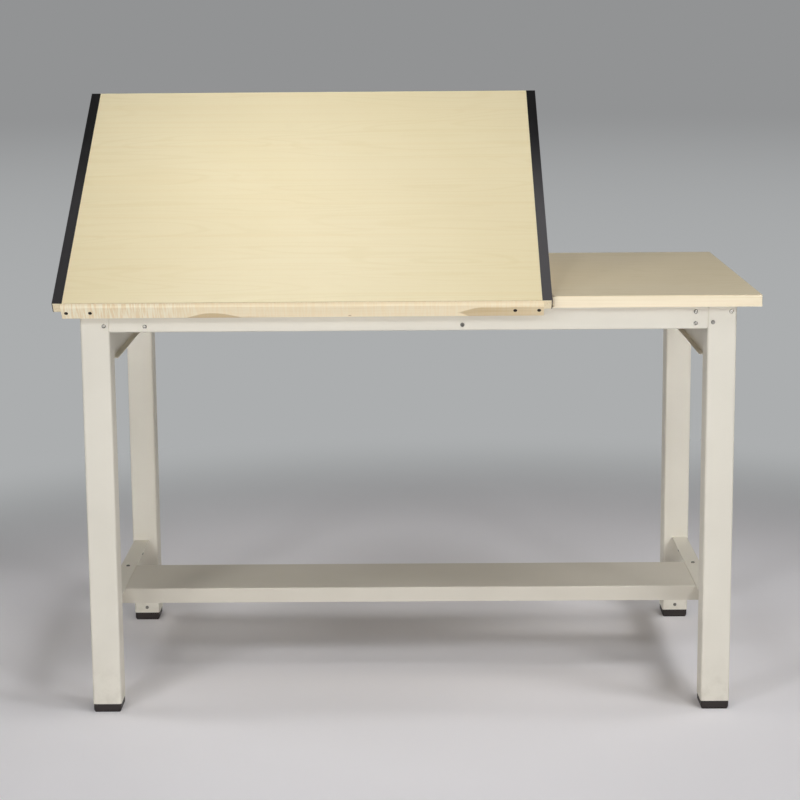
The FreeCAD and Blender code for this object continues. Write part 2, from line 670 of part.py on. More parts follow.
def pivot_pin(x):
    """Headed pin through the fork and the arm, with a groove for its clip."""
    clear = ARM_HALF + 0.4
    start = vec(x - clear, PIVOT_Y, PIVOT_Z)
    shank = rod(start, X_AXIS, PIN_RADIUS, clear + ARM_HALF + PIN_TAIL)
    head = rod(start, -X_AXIS, PIN_HEAD, PIN_HEAD_RISE)
    rim = [e for e in head.Edges if abs(e.BoundBox.XMax - start.x + PIN_HEAD_RISE) < 1e-3]
    head = head.makeFillet(0.4 * PIN_HEAD_RISE, rim)
    near = vec(x + clear, PIVOT_Y, PIVOT_Z)
    groove = rod(near, X_AXIS, PIN_RADIUS + 1, CLIP_GROOVE)
    groove = groove.cut(rod(near, X_AXIS, PIN_RADIUS - CLIP_DEPTH, CLIP_GROOVE))
    return shank.fuse(head).removeSplitter().cut(groove)


def pin_clip(x):
    """Snap ring in the groove of a pivot pin, open at the bottom."""
    start = vec(x + ARM_HALF + 0.5, PIVOT_Y, PIVOT_Z)
    thick = CLIP_GROOVE - 0.2
    ring = rod(start, X_AXIS, CLIP_RADIUS, thick)
    ring = ring.cut(rod(start, X_AXIS, PIN_RADIUS - CLIP_DEPTH + 0.1, thick))
    mouth = block(start.x - 1, start.x + 2, PIVOT_Y - 1.6, PIVOT_Y + 1.6,
                  PIVOT_Z - CLIP_RADIUS - 1, PIVOT_Z)
    return ring.cut(mouth)


def clamp_bolt(x, side):
    """Round-headed bolt through the arc slot, the web and the spacer."""
    head_x = x + side * (ARM_HALF - ARM_WALL - ARC_PLATE - 0.3)
    axis = X_AXIS * side
    start = vec(head_x, BOLT_Y, RAIL_MID)
    head = rod(start, -axis, BOLT_HEAD, BOLT_HEAD_RISE)
    rim = [e for e in head.Edges if abs(abs(e.BoundBox.XMax - head_x) - BOLT_HEAD_RISE) < 1e-3]
    head = head.makeFillet(0.7 * BOLT_HEAD_RISE, rim)
    shank = rod(start, axis, BOLT_RADIUS, BOLT_LENGTH)
    return head.fuse(shank).removeSplitter()


def clamp_washer(x, side):
    """Fibre washer between the arc plate and the web."""
    near = ARM_HALF - ARM_WALL + 0.3
    thick = WEB_NEAR - near - 0.1
    start = vec(x + side * near, BOLT_Y, RAIL_MID)
    ring = rod(start, X_AXIS * side, WASHER_RADIUS, thick)
    return ring.cut(rod(start, X_AXIS * side, BOLT_RADIUS + BOLT_FIT, thick))


def clamp_spacer(x, side):
    """Tube that carries the knob clear of the flanges of the cross member."""
    start = vec(x + side * (WEB_FAR + 0.1), BOLT_Y, RAIL_MID)
    length = CROSS_FLANGE + 2
    tube = rod(start, X_AXIS * side, SPACER_RADIUS, length)
    return tube.cut(rod(start, X_AXIS * side, BOLT_RADIUS + BOLT_FIT, length))


def clamp_knob(x, side):
    """Lobed hand knob, blind-bored for the end of the bolt."""
    near = WEB_FAR + CROSS_FLANGE + 2.4
    axis = X_AXIS * side
    start = vec(x + side * near, BOLT_Y, RAIL_MID)
    hub = rod(start, axis, KNOB_HUB, KNOB_HEIGHT)
    grip = rod(start + axis * (KNOB_HEIGHT - KNOB_GRIP), axis, KNOB_RADIUS, KNOB_GRIP)
    flutes = []
    for i in range(KNOB_LOBES):
        turn = 2 * math.pi * i / KNOB_LOBES
        centre = start + vec(0, FLUTE_CENTRE * math.cos(turn), FLUTE_CENTRE * math.sin(turn))
        flutes.append(rod(centre, axis, FLUTE_RADIUS, KNOB_HEIGHT + 1))
    grip = grip.cut(Part.makeCompound(flutes))
    far = start.x + side * KNOB_HEIGHT
    rim = [e for e in grip.Edges
           if abs(e.BoundBox.XMax - far) < 1e-3 and abs(e.BoundBox.XMin - far) < 1e-3]
    grip = grip.makeFillet(2.0, rim)
    bolt_end = ARM_HALF - ARM_WALL - ARC_PLATE - 0.3 + BOLT_LENGTH
    bore = rod(start, axis, BOLT_RADIUS + PIN_FIT, bolt_end - near + 0.6)
    return hub.fuse(grip).removeSplitter().cut(bore)


# ---- tilting board, drawn flat -----------------------------------------------
def board_core():
    """Panel between the steel edges, notched at the front for the apron."""
    panel = block(BOARD_LEFT + SKIN, BOARD_RIGHT - SKIN, BOARD_FRONT, BOARD_BACK,
                  BOARD_UNDER, BOARD_TOP - SKIN)
    notch = block(BOARD_LEFT + APRON_INSET, BOARD_RIGHT - APRON_INSET,
                  BOARD_FRONT - 1, BOARD_FRONT + APRON_THICKNESS, BOARD_UNDER - 1, APRON_TOP)
    panel = drilled(panel.cut(notch), arm_screws(), PANEL_DRILL)
    tips = [rod(vec(p.x, p.y, BOARD_UNDER - 1), Z_AXIS, WOOD_SCREW_RADIUS + SCREW_PLAY,
                WOOD_BITE + 2) for p in cleat_screws()]
    tips += [rod(p, aim, EDGE_SCREW_RADIUS + SCREW_PLAY, EDGE_SCREW + 1)
             for p, aim in edge_screws()]
    return panel.cut(Part.makeCompound(tips))


def board_skin():
    """Laminate work surface between the two steel edges."""
    inset = STEEL_EDGE + 0.2
    return block(BOARD_LEFT + inset, BOARD_RIGHT - inset, BOARD_FRONT, BOARD_BACK,
                 BOARD_TOP - SKIN, BOARD_TOP)


def steel_edge(x, side):
    """Black steel angle along one side of the board, for a sliding square."""
    path = [(STEEL_EDGE, BOARD_TOP), (0, BOARD_TOP), (0, BOARD_UNDER)]
    corners = [(u, v) for u, v in path]
    corners += [(SKIN, BOARD_UNDER), (SKIN, BOARD_TOP - SKIN), (STEEL_EDGE, BOARD_TOP - SKIN)]
    points = [vec(x + side * u, BOARD_FRONT, v) for u, v in corners]
    angle = rounded_face(points, [0, 1.0, 0, 0, 0, 0]).extrude(Y_AXIS * TOP_DEPTH)
    sinks = [sink_hole(p, aim, EDGE_SCREW_RADIUS, EDGE_SCREW_HEAD, 2 * SKIN)
             for p, aim in edge_screws() if abs(p.x - x) < 1]
    return angle.cut(Part.makeCompound(sinks))


def front_apron():
    """Solid wood apron along the front, eased along its upper front edge."""
    y0 = BOARD_FRONT
    y1 = BOARD_FRONT + APRON_THICKNESS
    x = BOARD_LEFT + APRON_INSET
    points = [vec(x, y0, APRON_BOTTOM), vec(x, y1, APRON_BOTTOM), vec(x, y1, APRON_TOP),
              vec(x, y0 + APRON_EASE[0], APRON_TOP), vec(x, y0, APRON_TOP - APRON_EASE[1])]
    bar = rounded_face(points, [2.0, 1.0, 0, 2.0, 6.0])
    bar = bar.extrude(X_AXIS * (BOARD_WIDTH - 2 * APRON_INSET))
    reach = APRON_THICKNESS + APRON_BITE
    sinks = [sink_hole(p, Y_AXIS, WOOD_SCREW_RADIUS, WOOD_SCREW_HEAD, reach)
             for p in apron_screws()]
    return bar.cut(Part.makeCompound(sinks))


def cleat(x):
    """Wooden batten under one side of the board."""
    half = CLEAT_WIDTH / 2
    y0 = BOARD_FRONT + APRON_THICKNESS
    batten = block(x - half, x + half, y0, BOARD_BACK - CLEAT_BACK,
                   BOARD_UNDER - CLEAT_THICKNESS, BOARD_UNDER)
    sinks = [sink_hole(p, Z_AXIS, WOOD_SCREW_RADIUS, WOOD_SCREW_HEAD, CLEAT_THICKNESS + 1)
             for p in cleat_screws() if abs(p.x - x) < half]
    reach = APRON_THICKNESS + APRON_BITE + 1
    sinks += [sink_hole(p, Y_AXIS, WOOD_SCREW_RADIUS, WOOD_SCREW_HEAD, reach)
              for p in apron_screws() if abs(p.x - x) < half]
    return batten.cut(Part.makeCompound(sinks))


def board_arm(x):
    """Steel channel screwed under the board, with a rounded nose on the pivot."""
    y1 = PIVOT_Y + ARM_LENGTH
    low = BOARD_UNDER - ARM_DROP
    walls = []
    for side in (-1, 1):
        outer = x + side * ARM_HALF
        inner = x + side * (ARM_HALF - ARM_WALL)
        wall = block(outer, inner, PIVOT_Y, y1, low, BOARD_UNDER)
        nose = block(outer, inner, PIVOT_Y - NOSE_RADIUS, PIVOT_Y, PIVOT_Z, BOARD_UNDER)
        round_end = rod(vec(outer, PIVOT_Y, PIVOT_Z), X_AXIS * -side, NOSE_RADIUS, ARM_WALL)
        walls.append(wall.fuse([nose, round_end]))
    web = block(x - ARM_HALF, x + ARM_HALF, PIVOT_Y + 14, y1,
                BOARD_UNDER - ARM_WALL, BOARD_UNDER)
    arm = web.fuse(walls).removeSplitter()
    bore = rod(vec(x - 30, PIVOT_Y, PIVOT_Z), X_AXIS, PIN_RADIUS + PIN_FIT, 60)
    arm = arm.cut(bore).cut(Part.makeCompound(rivet_holes(x)))
    return drilled(arm, [h for h in arm_screws() if abs(h[0].x - x) < 1])


def rivet_spots():
    """Two rivets from each arc plate into the wall of its arm."""
    z = BOARD_UNDER - 0.62 * ARM_DROP
    return [(PIVOT_Y + ARC_RADIUS + dy, z) for dy in RIVET_OFFSETS]


def rivet_holes(x):
    return [rod(vec(x - 30, y, z), X_AXIS, RIVET_RADIUS + 0.1, 60) for y, z in rivet_spots()]


def rivet(x, side, y, z):
    """Rivet with a low round head on both ends."""
    inner = x + side * (ARM_HALF - ARM_WALL - ARC_PLATE)
    axis = X_AXIS * side
    start = vec(inner, y, z)
    length = ARC_PLATE + ARM_WALL
    shank = rod(start - axis * RIVET_RISE, axis, RIVET_RADIUS, length + 2 * RIVET_RISE)
    heads = [rod(start - axis * (RIVET_RISE + 0.1), axis, RIVET_HEAD, RIVET_RISE),
             rod(start + axis * (length + 0.1), axis, RIVET_HEAD, RIVET_RISE)]
    return shank.fuse(heads).removeSplitter()


def arc_point(radius, angle, x):
    """Point at an angle below the line from the pivot to the back."""
    turn = math.radians(angle)
    return vec(x, PIVOT_Y + radius * math.cos(turn), PIVOT_Z - radius * math.sin(turn))


def arc_band(inner, outer, first, last, x):
    """Face of a ring sector between two angles below the pivot's level."""
    middle = (first + last) / 2
    edges = [
        Part.Arc(arc_point(inner, first, x), arc_point(inner, middle, x),
                 arc_point(inner, last, x)).toShape(),
        Part.makeLine(arc_point(inner, last, x), arc_point(outer, last, x)),
        Part.Arc(arc_point(outer, last, x), arc_point(outer, middle, x),
                 arc_point(outer, first, x)).toShape(),
        Part.makeLine(arc_point(outer, first, x), arc_point(inner, first, x)),
    ]
    return Part.Face(Part.Wire(edges))


def arc_plate(x, side):
    """Slotted arc about the pivot, riveted to the inside of one arm."""
    inner_x = x + side * (ARM_HALF - ARM_WALL - ARC_PLATE)
    run = X_AXIS * side * ARC_PLATE
    first = BOLT_ANGLE
    last = BOLT_ANGLE + TILT_MOST
    band = arc_band(ARC_RADIUS - ARC_HALF, ARC_RADIUS + ARC_HALF, 0, last, inner_x).extrude(run)
    tip = rod(arc_point(ARC_RADIUS, last, inner_x), X_AXIS * side, ARC_HALF, ARC_PLATE)
    lug = block(inner_x, inner_x + side * ARC_PLATE,
                PIVOT_Y + ARC_RADIUS - 30, PIVOT_Y + ARC_RADIUS + 24,
                PIVOT_Z - 8, BOARD_UNDER - ARM_WALL - 0.3)
    half = BOLT_RADIUS + BOLT_PLAY
    slot = arc_band(ARC_RADIUS - half, ARC_RADIUS + half, first, last, inner_x).extrude(run)
    ends = [rod(arc_point(ARC_RADIUS, a, inner_x), X_AXIS * side, half, ARC_PLATE)
            for a in (first, last)]
    plate = band.fuse([tip, lug]).removeSplitter()
    return plate.cut(slot.fuse(ends)).cut(Part.makeCompound(rivet_holes(x)))


# ---- fixed work surface ------------------------------------------------------
def fixed_core():
    """Particle-board panel of the fixed surface."""
    panel = block(FIXED_LEFT + EDGE_BAND, FIXED_RIGHT - EDGE_BAND,
                  TOP_FRONT + EDGE_BAND, BACK - EDGE_BAND, FRAME_TOP, TABLE_HEIGHT - SKIN)
    return drilled(panel, top_screws(), PANEL_DRILL)


def fixed_edge_band():
    """Thin matching band round the four sides of the fixed surface."""
    ring = block(FIXED_LEFT, FIXED_RIGHT, TOP_FRONT, BACK, FRAME_TOP, TABLE_HEIGHT - SKIN)
    return ring.cut(block(FIXED_LEFT + EDGE_BAND, FIXED_RIGHT - EDGE_BAND,
                          TOP_FRONT + EDGE_BAND, BACK - EDGE_BAND, FRAME_TOP - 1, TABLE_HEIGHT))


def fixed_skin():
    """Laminate of the fixed surface."""
    return block(FIXED_LEFT, FIXED_RIGHT, TOP_FRONT, BACK, TABLE_HEIGHT - SKIN, TABLE_HEIGHT)


# ---- write every node --------------------------------------------------------
def save_base():
    for place, front in (("front", True), ("back", False)):
        left_leg = leg(front)
        left_foot = foot(front)
        save("leg_" + place + "_left", left_leg)
        save("leg_" + place + "_right", mirrored(left_leg))
        save("foot_" + place + "_left", left_foot)
        save("foot_" + place + "_right", mirrored(left_foot))
        save("rail_" + place, rail(front))
    save("leg_top_plugs", [leg_plug(True), leg_plug(False)])
    save("side_apron_left", side_apron())
    save("side_apron_right", right_side_apron())
    low = low_side_rail()
    save("lower_rail_left", low)
    save("lower_rail_right", mirrored(low))
    save("footrest_shelf", footrest())
    save("cross_member_left", arm_member(ARM_X[0], ARM_SIDE[0]))
    save("cross_member_middle", arm_member(ARM_X[1], ARM_SIDE[1]))
    save("cross_member_right", cross_member(CROSS_X, -1))


def save_fixed_surface():
    save("fixed_top_core", fixed_core())
    save("fixed_top_edge_band", fixed_edge_band())
    save("fixed_top_laminate", fixed_skin())


def save_pivots():
    for name, x, side in (("left", ARM_X[0], ARM_SIDE[0]), ("right", ARM_X[1], ARM_SIDE[1])):
        save("pivot_fork_" + name, pivot_fork(x))
        save("pivot_pin_" + name, pivot_pin(x))
        save("clamp_bolt_" + name, clamp_bolt(x, side))
        save("clamp_spacer_" + name, clamp_spacer(x, side))
        save("clamp_knob_" + name, clamp_knob(x, side))
        save("board_arm_" + name, tilted(board_arm(x)))
        save("arc_plate_" + name, tilted(arc_plate(x, side)))
    save("pin_clips", [pin_clip(x) for x in ARM_X])
    save("clamp_washers", [clamp_washer(x, side) for x, side in zip(ARM_X, ARM_SIDE)])
    rivets = [rivet(x, side, y, z) for x, side in zip(ARM_X, ARM_SIDE) for y, z in rivet_spots()]
    save("arc_plate_rivets", [tilted(r) for r in rivets])


def save_board():
    save("board_core", tilted(board_core()))
    save("board_laminate", tilted(board_skin()))
    save("steel_edge_left", tilted(steel_edge(BOARD_LEFT, 1)))
    save("steel_edge_right", tilted(steel_edge(BOARD_RIGHT, -1)))
    save("front_apron", tilted(front_apron()))
    save("board_cleat_left", tilted(cleat(cleat_mids()[0])))
    save("board_cleat_right", tilted(cleat(cleat_mids()[1])))


def save_screws():
    frame = pan_screw(FRAME_SCREW)
    panel = pan_screw(PANEL_SCREW)
    groups = {
        "rail_screws": (frame, rail_screws()),
        "leg_screws": (frame, corner_screws()),
        "side_apron_screws": (frame, side_apron_screws()),
        "lower_rail_screws": (frame, low_rail_screws()),
        "footrest_screws": (frame, shelf_screws()),
        "foot_screws": (pan_screw(FRAME_SCREW, FOOT_SCREW_RADIUS, FOOT_SCREW_HEAD), foot_screws()),
        "fixed_top_screws": (panel, top_screws()),
        "pivot_fork_screws": (pan_screw(FORK_SCREW, FOOT_SCREW_RADIUS, FORK_SCREW_HEAD),
                              fork_screws()),
    }
    for name, (screw, spots) in groups.items():
        save(name, [aimed(screw, p, d) for p, d in spots])
    save("board_arm_screws", [tilted(aimed(panel, p, d)) for p, d in arm_screws()])
    wood = flat_screw(CLEAT_THICKNESS + WOOD_BITE, WOOD_SCREW_RADIUS, WOOD_SCREW_HEAD)
    save("cleat_screws", [tilted(aimed(wood, p, Z_AXIS)) for p in cleat_screws()])
    long_wood = flat_screw(APRON_THICKNESS + APRON_BITE, WOOD_SCREW_RADIUS, WOOD_SCREW_HEAD)
    save("front_apron_screws", [tilted(aimed(long_wood, p, Y_AXIS)) for p in apron_screws()])
    small = flat_screw(EDGE_SCREW, EDGE_SCREW_RADIUS, EDGE_SCREW_HEAD)
    save("steel_edge_screws", [tilted(aimed(small, p, d)) for p, d in edge_screws()])


save_base()
save_fixed_surface()
save_pivots()
save_board()
save_screws()
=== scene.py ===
"""A drafting table: a tilting drawing board beside a fixed work surface, on a steel frame.

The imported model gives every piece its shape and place. This script gives each piece its finish,
swaps a few pieces for finer meshes, and stands the table in a plain studio.
"""

import json
import logging
import math
from collections.abc import Sequence
from dataclasses import dataclass, field
from enum import Enum

import bmesh
import bpy
import numpy as np
from mathutils import Matrix, Vector


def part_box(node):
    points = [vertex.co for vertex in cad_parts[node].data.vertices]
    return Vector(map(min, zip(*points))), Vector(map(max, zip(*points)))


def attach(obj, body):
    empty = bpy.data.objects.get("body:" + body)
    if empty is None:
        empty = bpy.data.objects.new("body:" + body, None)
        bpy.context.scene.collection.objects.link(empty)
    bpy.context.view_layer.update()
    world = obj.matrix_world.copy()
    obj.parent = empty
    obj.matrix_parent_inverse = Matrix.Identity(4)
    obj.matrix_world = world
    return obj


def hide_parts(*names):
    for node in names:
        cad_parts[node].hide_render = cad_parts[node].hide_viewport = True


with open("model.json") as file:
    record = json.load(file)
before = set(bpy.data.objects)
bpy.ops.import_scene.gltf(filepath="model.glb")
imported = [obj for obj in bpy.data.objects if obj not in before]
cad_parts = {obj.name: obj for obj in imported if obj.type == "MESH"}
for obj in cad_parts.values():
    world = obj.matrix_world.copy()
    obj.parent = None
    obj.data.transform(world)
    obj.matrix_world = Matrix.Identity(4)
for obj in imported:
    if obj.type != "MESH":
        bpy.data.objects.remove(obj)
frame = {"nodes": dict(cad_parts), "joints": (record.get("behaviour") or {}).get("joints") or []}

log = logging.getLogger("drafting_table")

Pair = tuple[float, float]
Triple = tuple[float, float, float]
Colour = Triple
Socket = bpy.types.NodeSocket

MM = 0.001
ORIGIN = (0.0, 0.0, 0.0)
WHITE = 255.0
TOE_END = 0.04045
TOE_SLOPE = 12.92
CURVE_SHIFT = 0.055
CURVE_POWER = 2.4
WIDEST_BEAM = 179.9
SIDES = ("left", "right")


def joint_named(name: str) -> dict:
    """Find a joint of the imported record.

    Args:
        name: The joint's name.

    Returns:
        The joint's entry, with its place, axis and range.
    """
    return next(joint for joint in frame["joints"] if joint["name"] == name)


TILT = joint_named("board_tilt")
PIVOT = Vector(TILT["pos_m"])
TILT_SHOWN = -math.radians(TILT["range_deg"][0])


def flat_points(node: str) -> np.ndarray:
    """A board node's points laid flat, from the pivot.

    Args:
        node: The CAD node's name.

    Returns:
        An array with one row to a point, in metres.
    """
    mesh = frame["nodes"][node].data
    points = np.empty(len(mesh.vertices) * 3)
    mesh.vertices.foreach_get("co", points)
    turn = np.array(Matrix.Rotation(-TILT_SHOWN, 3, "X"))
    return (points.reshape(-1, 3) - np.array(PIVOT)) @ turn.T


APRON_FLOOR = float(flat_points("front_apron")[:, 2].min())


def paint(red: float, green: float, blue: float) -> Colour:
    """Turn a display colour into the linear colour that a shader takes.

    Each channel c, from 0 to 255, is taken as a share of 255 and goes through the usual display
    curve: c / 12.92 up to 0.04045, and ((c + 0.055) / 1.055) to the power 2.4 above it.

    Args:
        red: The red channel, from 0 to 255.
        green: The green channel, from 0 to 255.
        blue: The blue channel, from 0 to 255.

    Returns:
        The linear colour.
    """
    share = np.array([red, green, blue]) / WHITE
    curve = ((share + CURVE_SHIFT) / (1.0 + CURVE_SHIFT)) ** CURVE_POWER
    linear = np.where(share <= TOE_END, share / TOE_SLOPE, curve)
    return tuple(float(channel) for channel in linear)


# --- Shader graphs -------


class Signal:
    """A number that flows through a material. Arithmetic on it adds Math nodes."""

    def __init__(self, graph: "Graph", socket: Socket) -> None:
        """Wrap an output socket of a graph."""
        self.graph = graph
        self.socket = socket

    def _math(self, operation: str, *terms: "Signal | float") -> "Signal":
        """Add one Math node.

        Args:
            operation: The Math node's operation.
            terms: Its inputs, in order.

        Returns:
            The node's result.
        """
        return self.graph.signal("ShaderNodeMath", {"operation": operation}, dict(enumerate(terms)))

    def __add__(self, other: "Signal | float") -> "Signal":
        """Add."""
        return self._math("ADD", self, other)

    def __radd__(self, other: float) -> "Signal":
        """Add, with the number first."""
        return self._math("ADD", other, self)

    def __sub__(self, other: "Signal | float") -> "Signal":
        """Subtract."""
        return self._math("SUBTRACT", self, other)

    def __rsub__(self, other: float) -> "Signal":
        """Subtract from a number."""
        return self._math("SUBTRACT", other, self)

    def __mul__(self, other: "Signal | float") -> "Signal":
        """Multiply."""
        return self._math("MULTIPLY", self, other)

    def __rmul__(self, other: float) -> "Signal":
        """Multiply, with the number first."""
        return self._math("MULTIPLY", other, self)

    def __truediv__(self, other: "Signal | float") -> "Signal":
        """Divide."""
        return self._math("DIVIDE", self, other)

    def __pow__(self, other: "Signal | float") -> "Signal":
        """Raise to a power."""
        return self._math("POWER", self, other)

    def sine(self) -> "Signal":
        """The sine of the value, in radians."""
        return self._math("SINE", self)

    def ramp(self, low: float, high: float) -> "Signal":
        """Rise smoothly from 0 at low to 1 at high; low may be above high, for a fall.

        Args:
            low: The value that becomes 0.
            high: The value that becomes 1.

        Returns:
            The eased value.
        """
        settings = {"interpolation_type": "SMOOTHSTEP", "clamp": True}
        if low < high:
            values = {"Value": self, "From Min": low, "From Max": high, "To Min": 0.0, "To Max": 1.0}
        else:
            values = {"Value": self, "From Min": high, "From Max": low, "To Min": 1.0, "To Max": 0.0}
        return self.graph.signal("ShaderNodeMapRange", settings, values)


class Graph:
    """The node graph of one material or world."""

    def __init__(self, owner: bpy.types.Material | bpy.types.World) -> None:
        """Switch the owner to nodes and empty its graph.

        Args:
            owner: The material or world that the graph belongs to.
        """
        owner.use_nodes = True
        self.tree = owner.node_tree
        self.tree.nodes.clear()

    def node(self, kind: str, settings: dict | None = None, inputs: dict | None = None) -> bpy.types.Node:
        """Add a node: its settings are set first, and then its sockets.

        Args:
            kind: The node's type.
            settings: The node's properties.
            inputs: Values, Signals or output sockets, by socket name or number.

        Returns:
            The new node.
        """
        made = self.tree.nodes.new(kind)
        for name, value in (settings or {}).items():
            setattr(made, name, value)
        for key, value in (inputs or {}).items():
            socket = made.inputs[key]
            if isinstance(value, Signal):
                self.tree.links.new(value.socket, socket)
            elif isinstance(value, Socket):
                self.tree.links.new(value, socket)
            elif socket.type == "RGBA" and len(value) == 3:
                socket.default_value = (*value, 1.0)
            else:
                socket.default_value = value
        return made

    def signal(self, kind: str, settings: dict | None = None, inputs: dict | None = None) -> Signal:
        """Add a node and wrap its first output."""
        return Signal(self, self.node(kind, settings, inputs).outputs[0])

    def place(self) -> Socket:
        """The point on the piece, in metres, at rest."""
        return self.node("ShaderNodeTexCoord").outputs["Object"]

    def turned(self, centre: Sequence[float], turn: Sequence[float], cell: Sequence[float]) -> Socket:
        """Lay a pattern out on a piece: centre it, turn it back and stretch it.

        Args:
            centre: The pattern's origin, in metres.
            turn: How far the piece's own axes are turned, in radians.
            cell: The pattern's size along each of those axes, in metres.

        Returns:
            The pattern's coordinates, one to a cell.
        """
        inputs = {"Vector": self.place(), "Location": centre, "Rotation": turn, "Scale": cell}
        return self.node("ShaderNodeMapping", {"vector_type": "TEXTURE"}, inputs).outputs[0]

    def parts(self, vector: Socket) -> tuple[Signal, Signal, Signal]:
        """Split a vector into its three numbers."""
        split = self.node("ShaderNodeSeparateXYZ", None, {0: vector})
        return tuple(Signal(self, output) for output in split.outputs)

    def noise(self, at: Socket, scale: float = 1.0, detail: float = 2.0,
              roughness: float = 0.5, distortion: float = 0.0) -> Signal:
        """Soft noise from 0 to 1.

        Args:
            at: The pattern's coordinates.
            scale: Blobs to a unit of those coordinates.
            detail: Octaves added.
            roughness: How strong the finer octaves are.
            distortion: How far the pattern is swirled.

        Returns:
            The noise.
        """
        inputs = {"Vector": at, "Scale": scale, "Detail": detail, "Roughness": roughness,
                  "Distortion": distortion}
        return self.signal("ShaderNodeTexNoise", None, inputs)

    def cells(self, at: Socket) -> tuple[Signal, Socket]:
        """Broken cells, as chips or grit.

        Args:
            at: The pattern's coordinates, one cell to a unit.

        Returns:
            The distance from each cell's middle, and the cell's own random colour.
        """
        made = self.node("ShaderNodeTexVoronoi", None, {"Vector": at, "Scale": 1.0, "Randomness": 1.0})
        return Signal(self, made.outputs["Distance"]), made.outputs["Color"]

    def blend(self, share: Signal | float, first: Colour | Socket, second: Colour | Socket) -> Socket:
        """Mix two colours.

        Args:
            share: How much of the second one shows, from 0 to 1.
            first: The colour below.
            second: The colour on top.

        Returns:
            The mixed colour.
        """
        made = self.node("ShaderNodeMix", {"data_type": "RGBA"}, {0: share, 6: first, 7: second})
        return made.outputs[2]

    def relief(self, height: Signal, depth: float, strength: float = 1.0) -> Socket:
        """Turn a height from 0 to 1 into a bump of the given depth in metres."""
        inputs = {"Height": height, "Distance": depth, "Strength": strength}
        return self.node("ShaderNodeBump", None, inputs).outputs[0]

    def surface(self, inputs: dict) -> None:
        """End a material in one Principled shader with these sockets."""
        shader = self.node("ShaderNodeBsdfPrincipled", None, inputs)
        self.node("ShaderNodeOutputMaterial", None, {"Surface": shader.outputs[0]})


# --- Finishes ------------


class Grain(Enum):
    """Which way the pattern of a piece runs, as turns of its own axes in radians."""

    LEVEL = (0.0, 0.0, 0.0)
    BOARD = (TILT_SHOWN, 0.0, 0.0)


@dataclass(frozen=True)
class Finish:
    """What every finish has: a name and a base colour."""

    name: str
    colour: Colour

    def material(self) -> bpy.types.Material:
        """Make the finish's material.

        Returns:
            The material, with its shader built.
        """
        made = bpy.data.materials.new(self.name)
        self.fill(Graph(made))
        return made

    def fill(self, graph: Graph) -> None:
        """Build the shader. Each finish has its own."""
        raise NotImplementedError


@dataclass(frozen=True)
class PowderCoat(Finish):
    """Baked powder paint: an even satin skin with a fine orange peel and a little dust."""

    dust: Colour = paint(176, 168, 152)
    peel: float = 1.4 * MM
    peel_depth: float = 0.03 * MM
    grit_to_peel: float = 3.1
    dusty_below: float = 0.16
    cloud_share: float = 0.10
    low_dust_share: float = 0.30
    speck_share: float = 0.12
    rough: float = 0.40

    def fill(self, graph: Graph) -> None:
        """Peel is two sizes of noise; clouds vary the tone; dust gathers low down.

        Args:
            graph: The material's graph.
        """
        at = graph.place()
        height = graph.parts(at)[2]
        peel = graph.noise(at, scale=1.0 / self.peel, detail=1.0)
        grit = graph.noise(at, scale=self.grit_to_peel / self.peel, detail=0.0)
        clouds = graph.noise(at, scale=5.0, detail=3.0, roughness=0.55)
        specks = graph.noise(at, scale=210.0, detail=2.0, roughness=0.6).ramp(0.70, 0.78)
        patches = graph.noise(at, scale=38.0, detail=4.0, roughness=0.65).ramp(0.38, 0.75)
        low = height.ramp(self.dusty_below, 0.0) * patches
        toned = graph.blend(clouds.ramp(0.3, 0.7) * self.cloud_share, self.colour, self.dust)
        dusted = graph.blend(low * self.low_dust_share + specks * self.speck_share, toned, self.dust)
        graph.surface({
            "Base Color": dusted,
            "Roughness": self.rough + clouds * 0.10 + peel * 0.06 + low * 0.12,
            "Normal": graph.relief(peel * 0.75 + grit * 0.25, self.peel_depth),
        })


@dataclass(frozen=True)
class MapleLaminate(Finish):
    """Satin laminate printed with pale maple: long pointed loops, fine streaks and flecks."""

    shade: Colour = paint(214, 196, 144)
    streak: Colour = paint(222, 200, 148)
    grain: Grain = Grain.LEVEL
    centre: Triple = ORIGIN
    loop_cell: Triple = (0.85, 0.075, 1.0)
    loop_rings: float = 95.0
    streak_cell: Triple = (1.6, 0.012, 1.0)
    fleck_cell: Triple = (9.0 * MM, 0.55 * MM, 1.0)
    cloud_share: float = 0.16
    streak_share: float = 0.22
    ring_share: float = 0.16
    fleck_share: float = 0.20
    pore_depth: float = 0.012 * MM
    rough: float = 0.34

    def fill(self, graph: Graph) -> None:
        """Rings are the contour lines of a hill field stretched along the grain.

        Args:
            graph: The material's graph.
        """
        turn = self.grain.value
        hills = graph.noise(graph.turned(self.centre, turn, self.loop_cell),
                            detail=1.5, roughness=0.45, distortion=0.25)
        rings = (hills * self.loop_rings).sine().ramp(0.35, 1.0) * hills.ramp(0.34, 0.56)
        streaks = graph.noise(graph.turned(self.centre, turn, self.streak_cell),
                              detail=3.0, roughness=0.6)
        fleck_at = graph.turned(self.centre, turn, self.fleck_cell)
        flecks = graph.noise(fleck_at, detail=2.0, roughness=0.6).ramp(0.58, 0.80)
        pores = graph.noise(fleck_at, scale=2.0, detail=1.0)
        clouds = graph.noise(graph.place(), scale=2.6, detail=2.0)
        shaded = graph.blend(clouds.ramp(0.3, 0.75) * self.cloud_share, self.colour, self.shade)
        streaked = graph.blend(streaks.ramp(0.42, 0.72) * self.streak_share, shaded, self.streak)
        ringed = graph.blend(rings * self.ring_share, streaked, self.shade)
        flecked = graph.blend(flecks * self.fleck_share, ringed, self.shade)
        graph.surface({
            "Base Color": flecked,
            "Roughness": self.rough + streaks * 0.06 + clouds * 0.05,
            "Normal": graph.relief(pores, self.pore_depth, 0.8),
        })


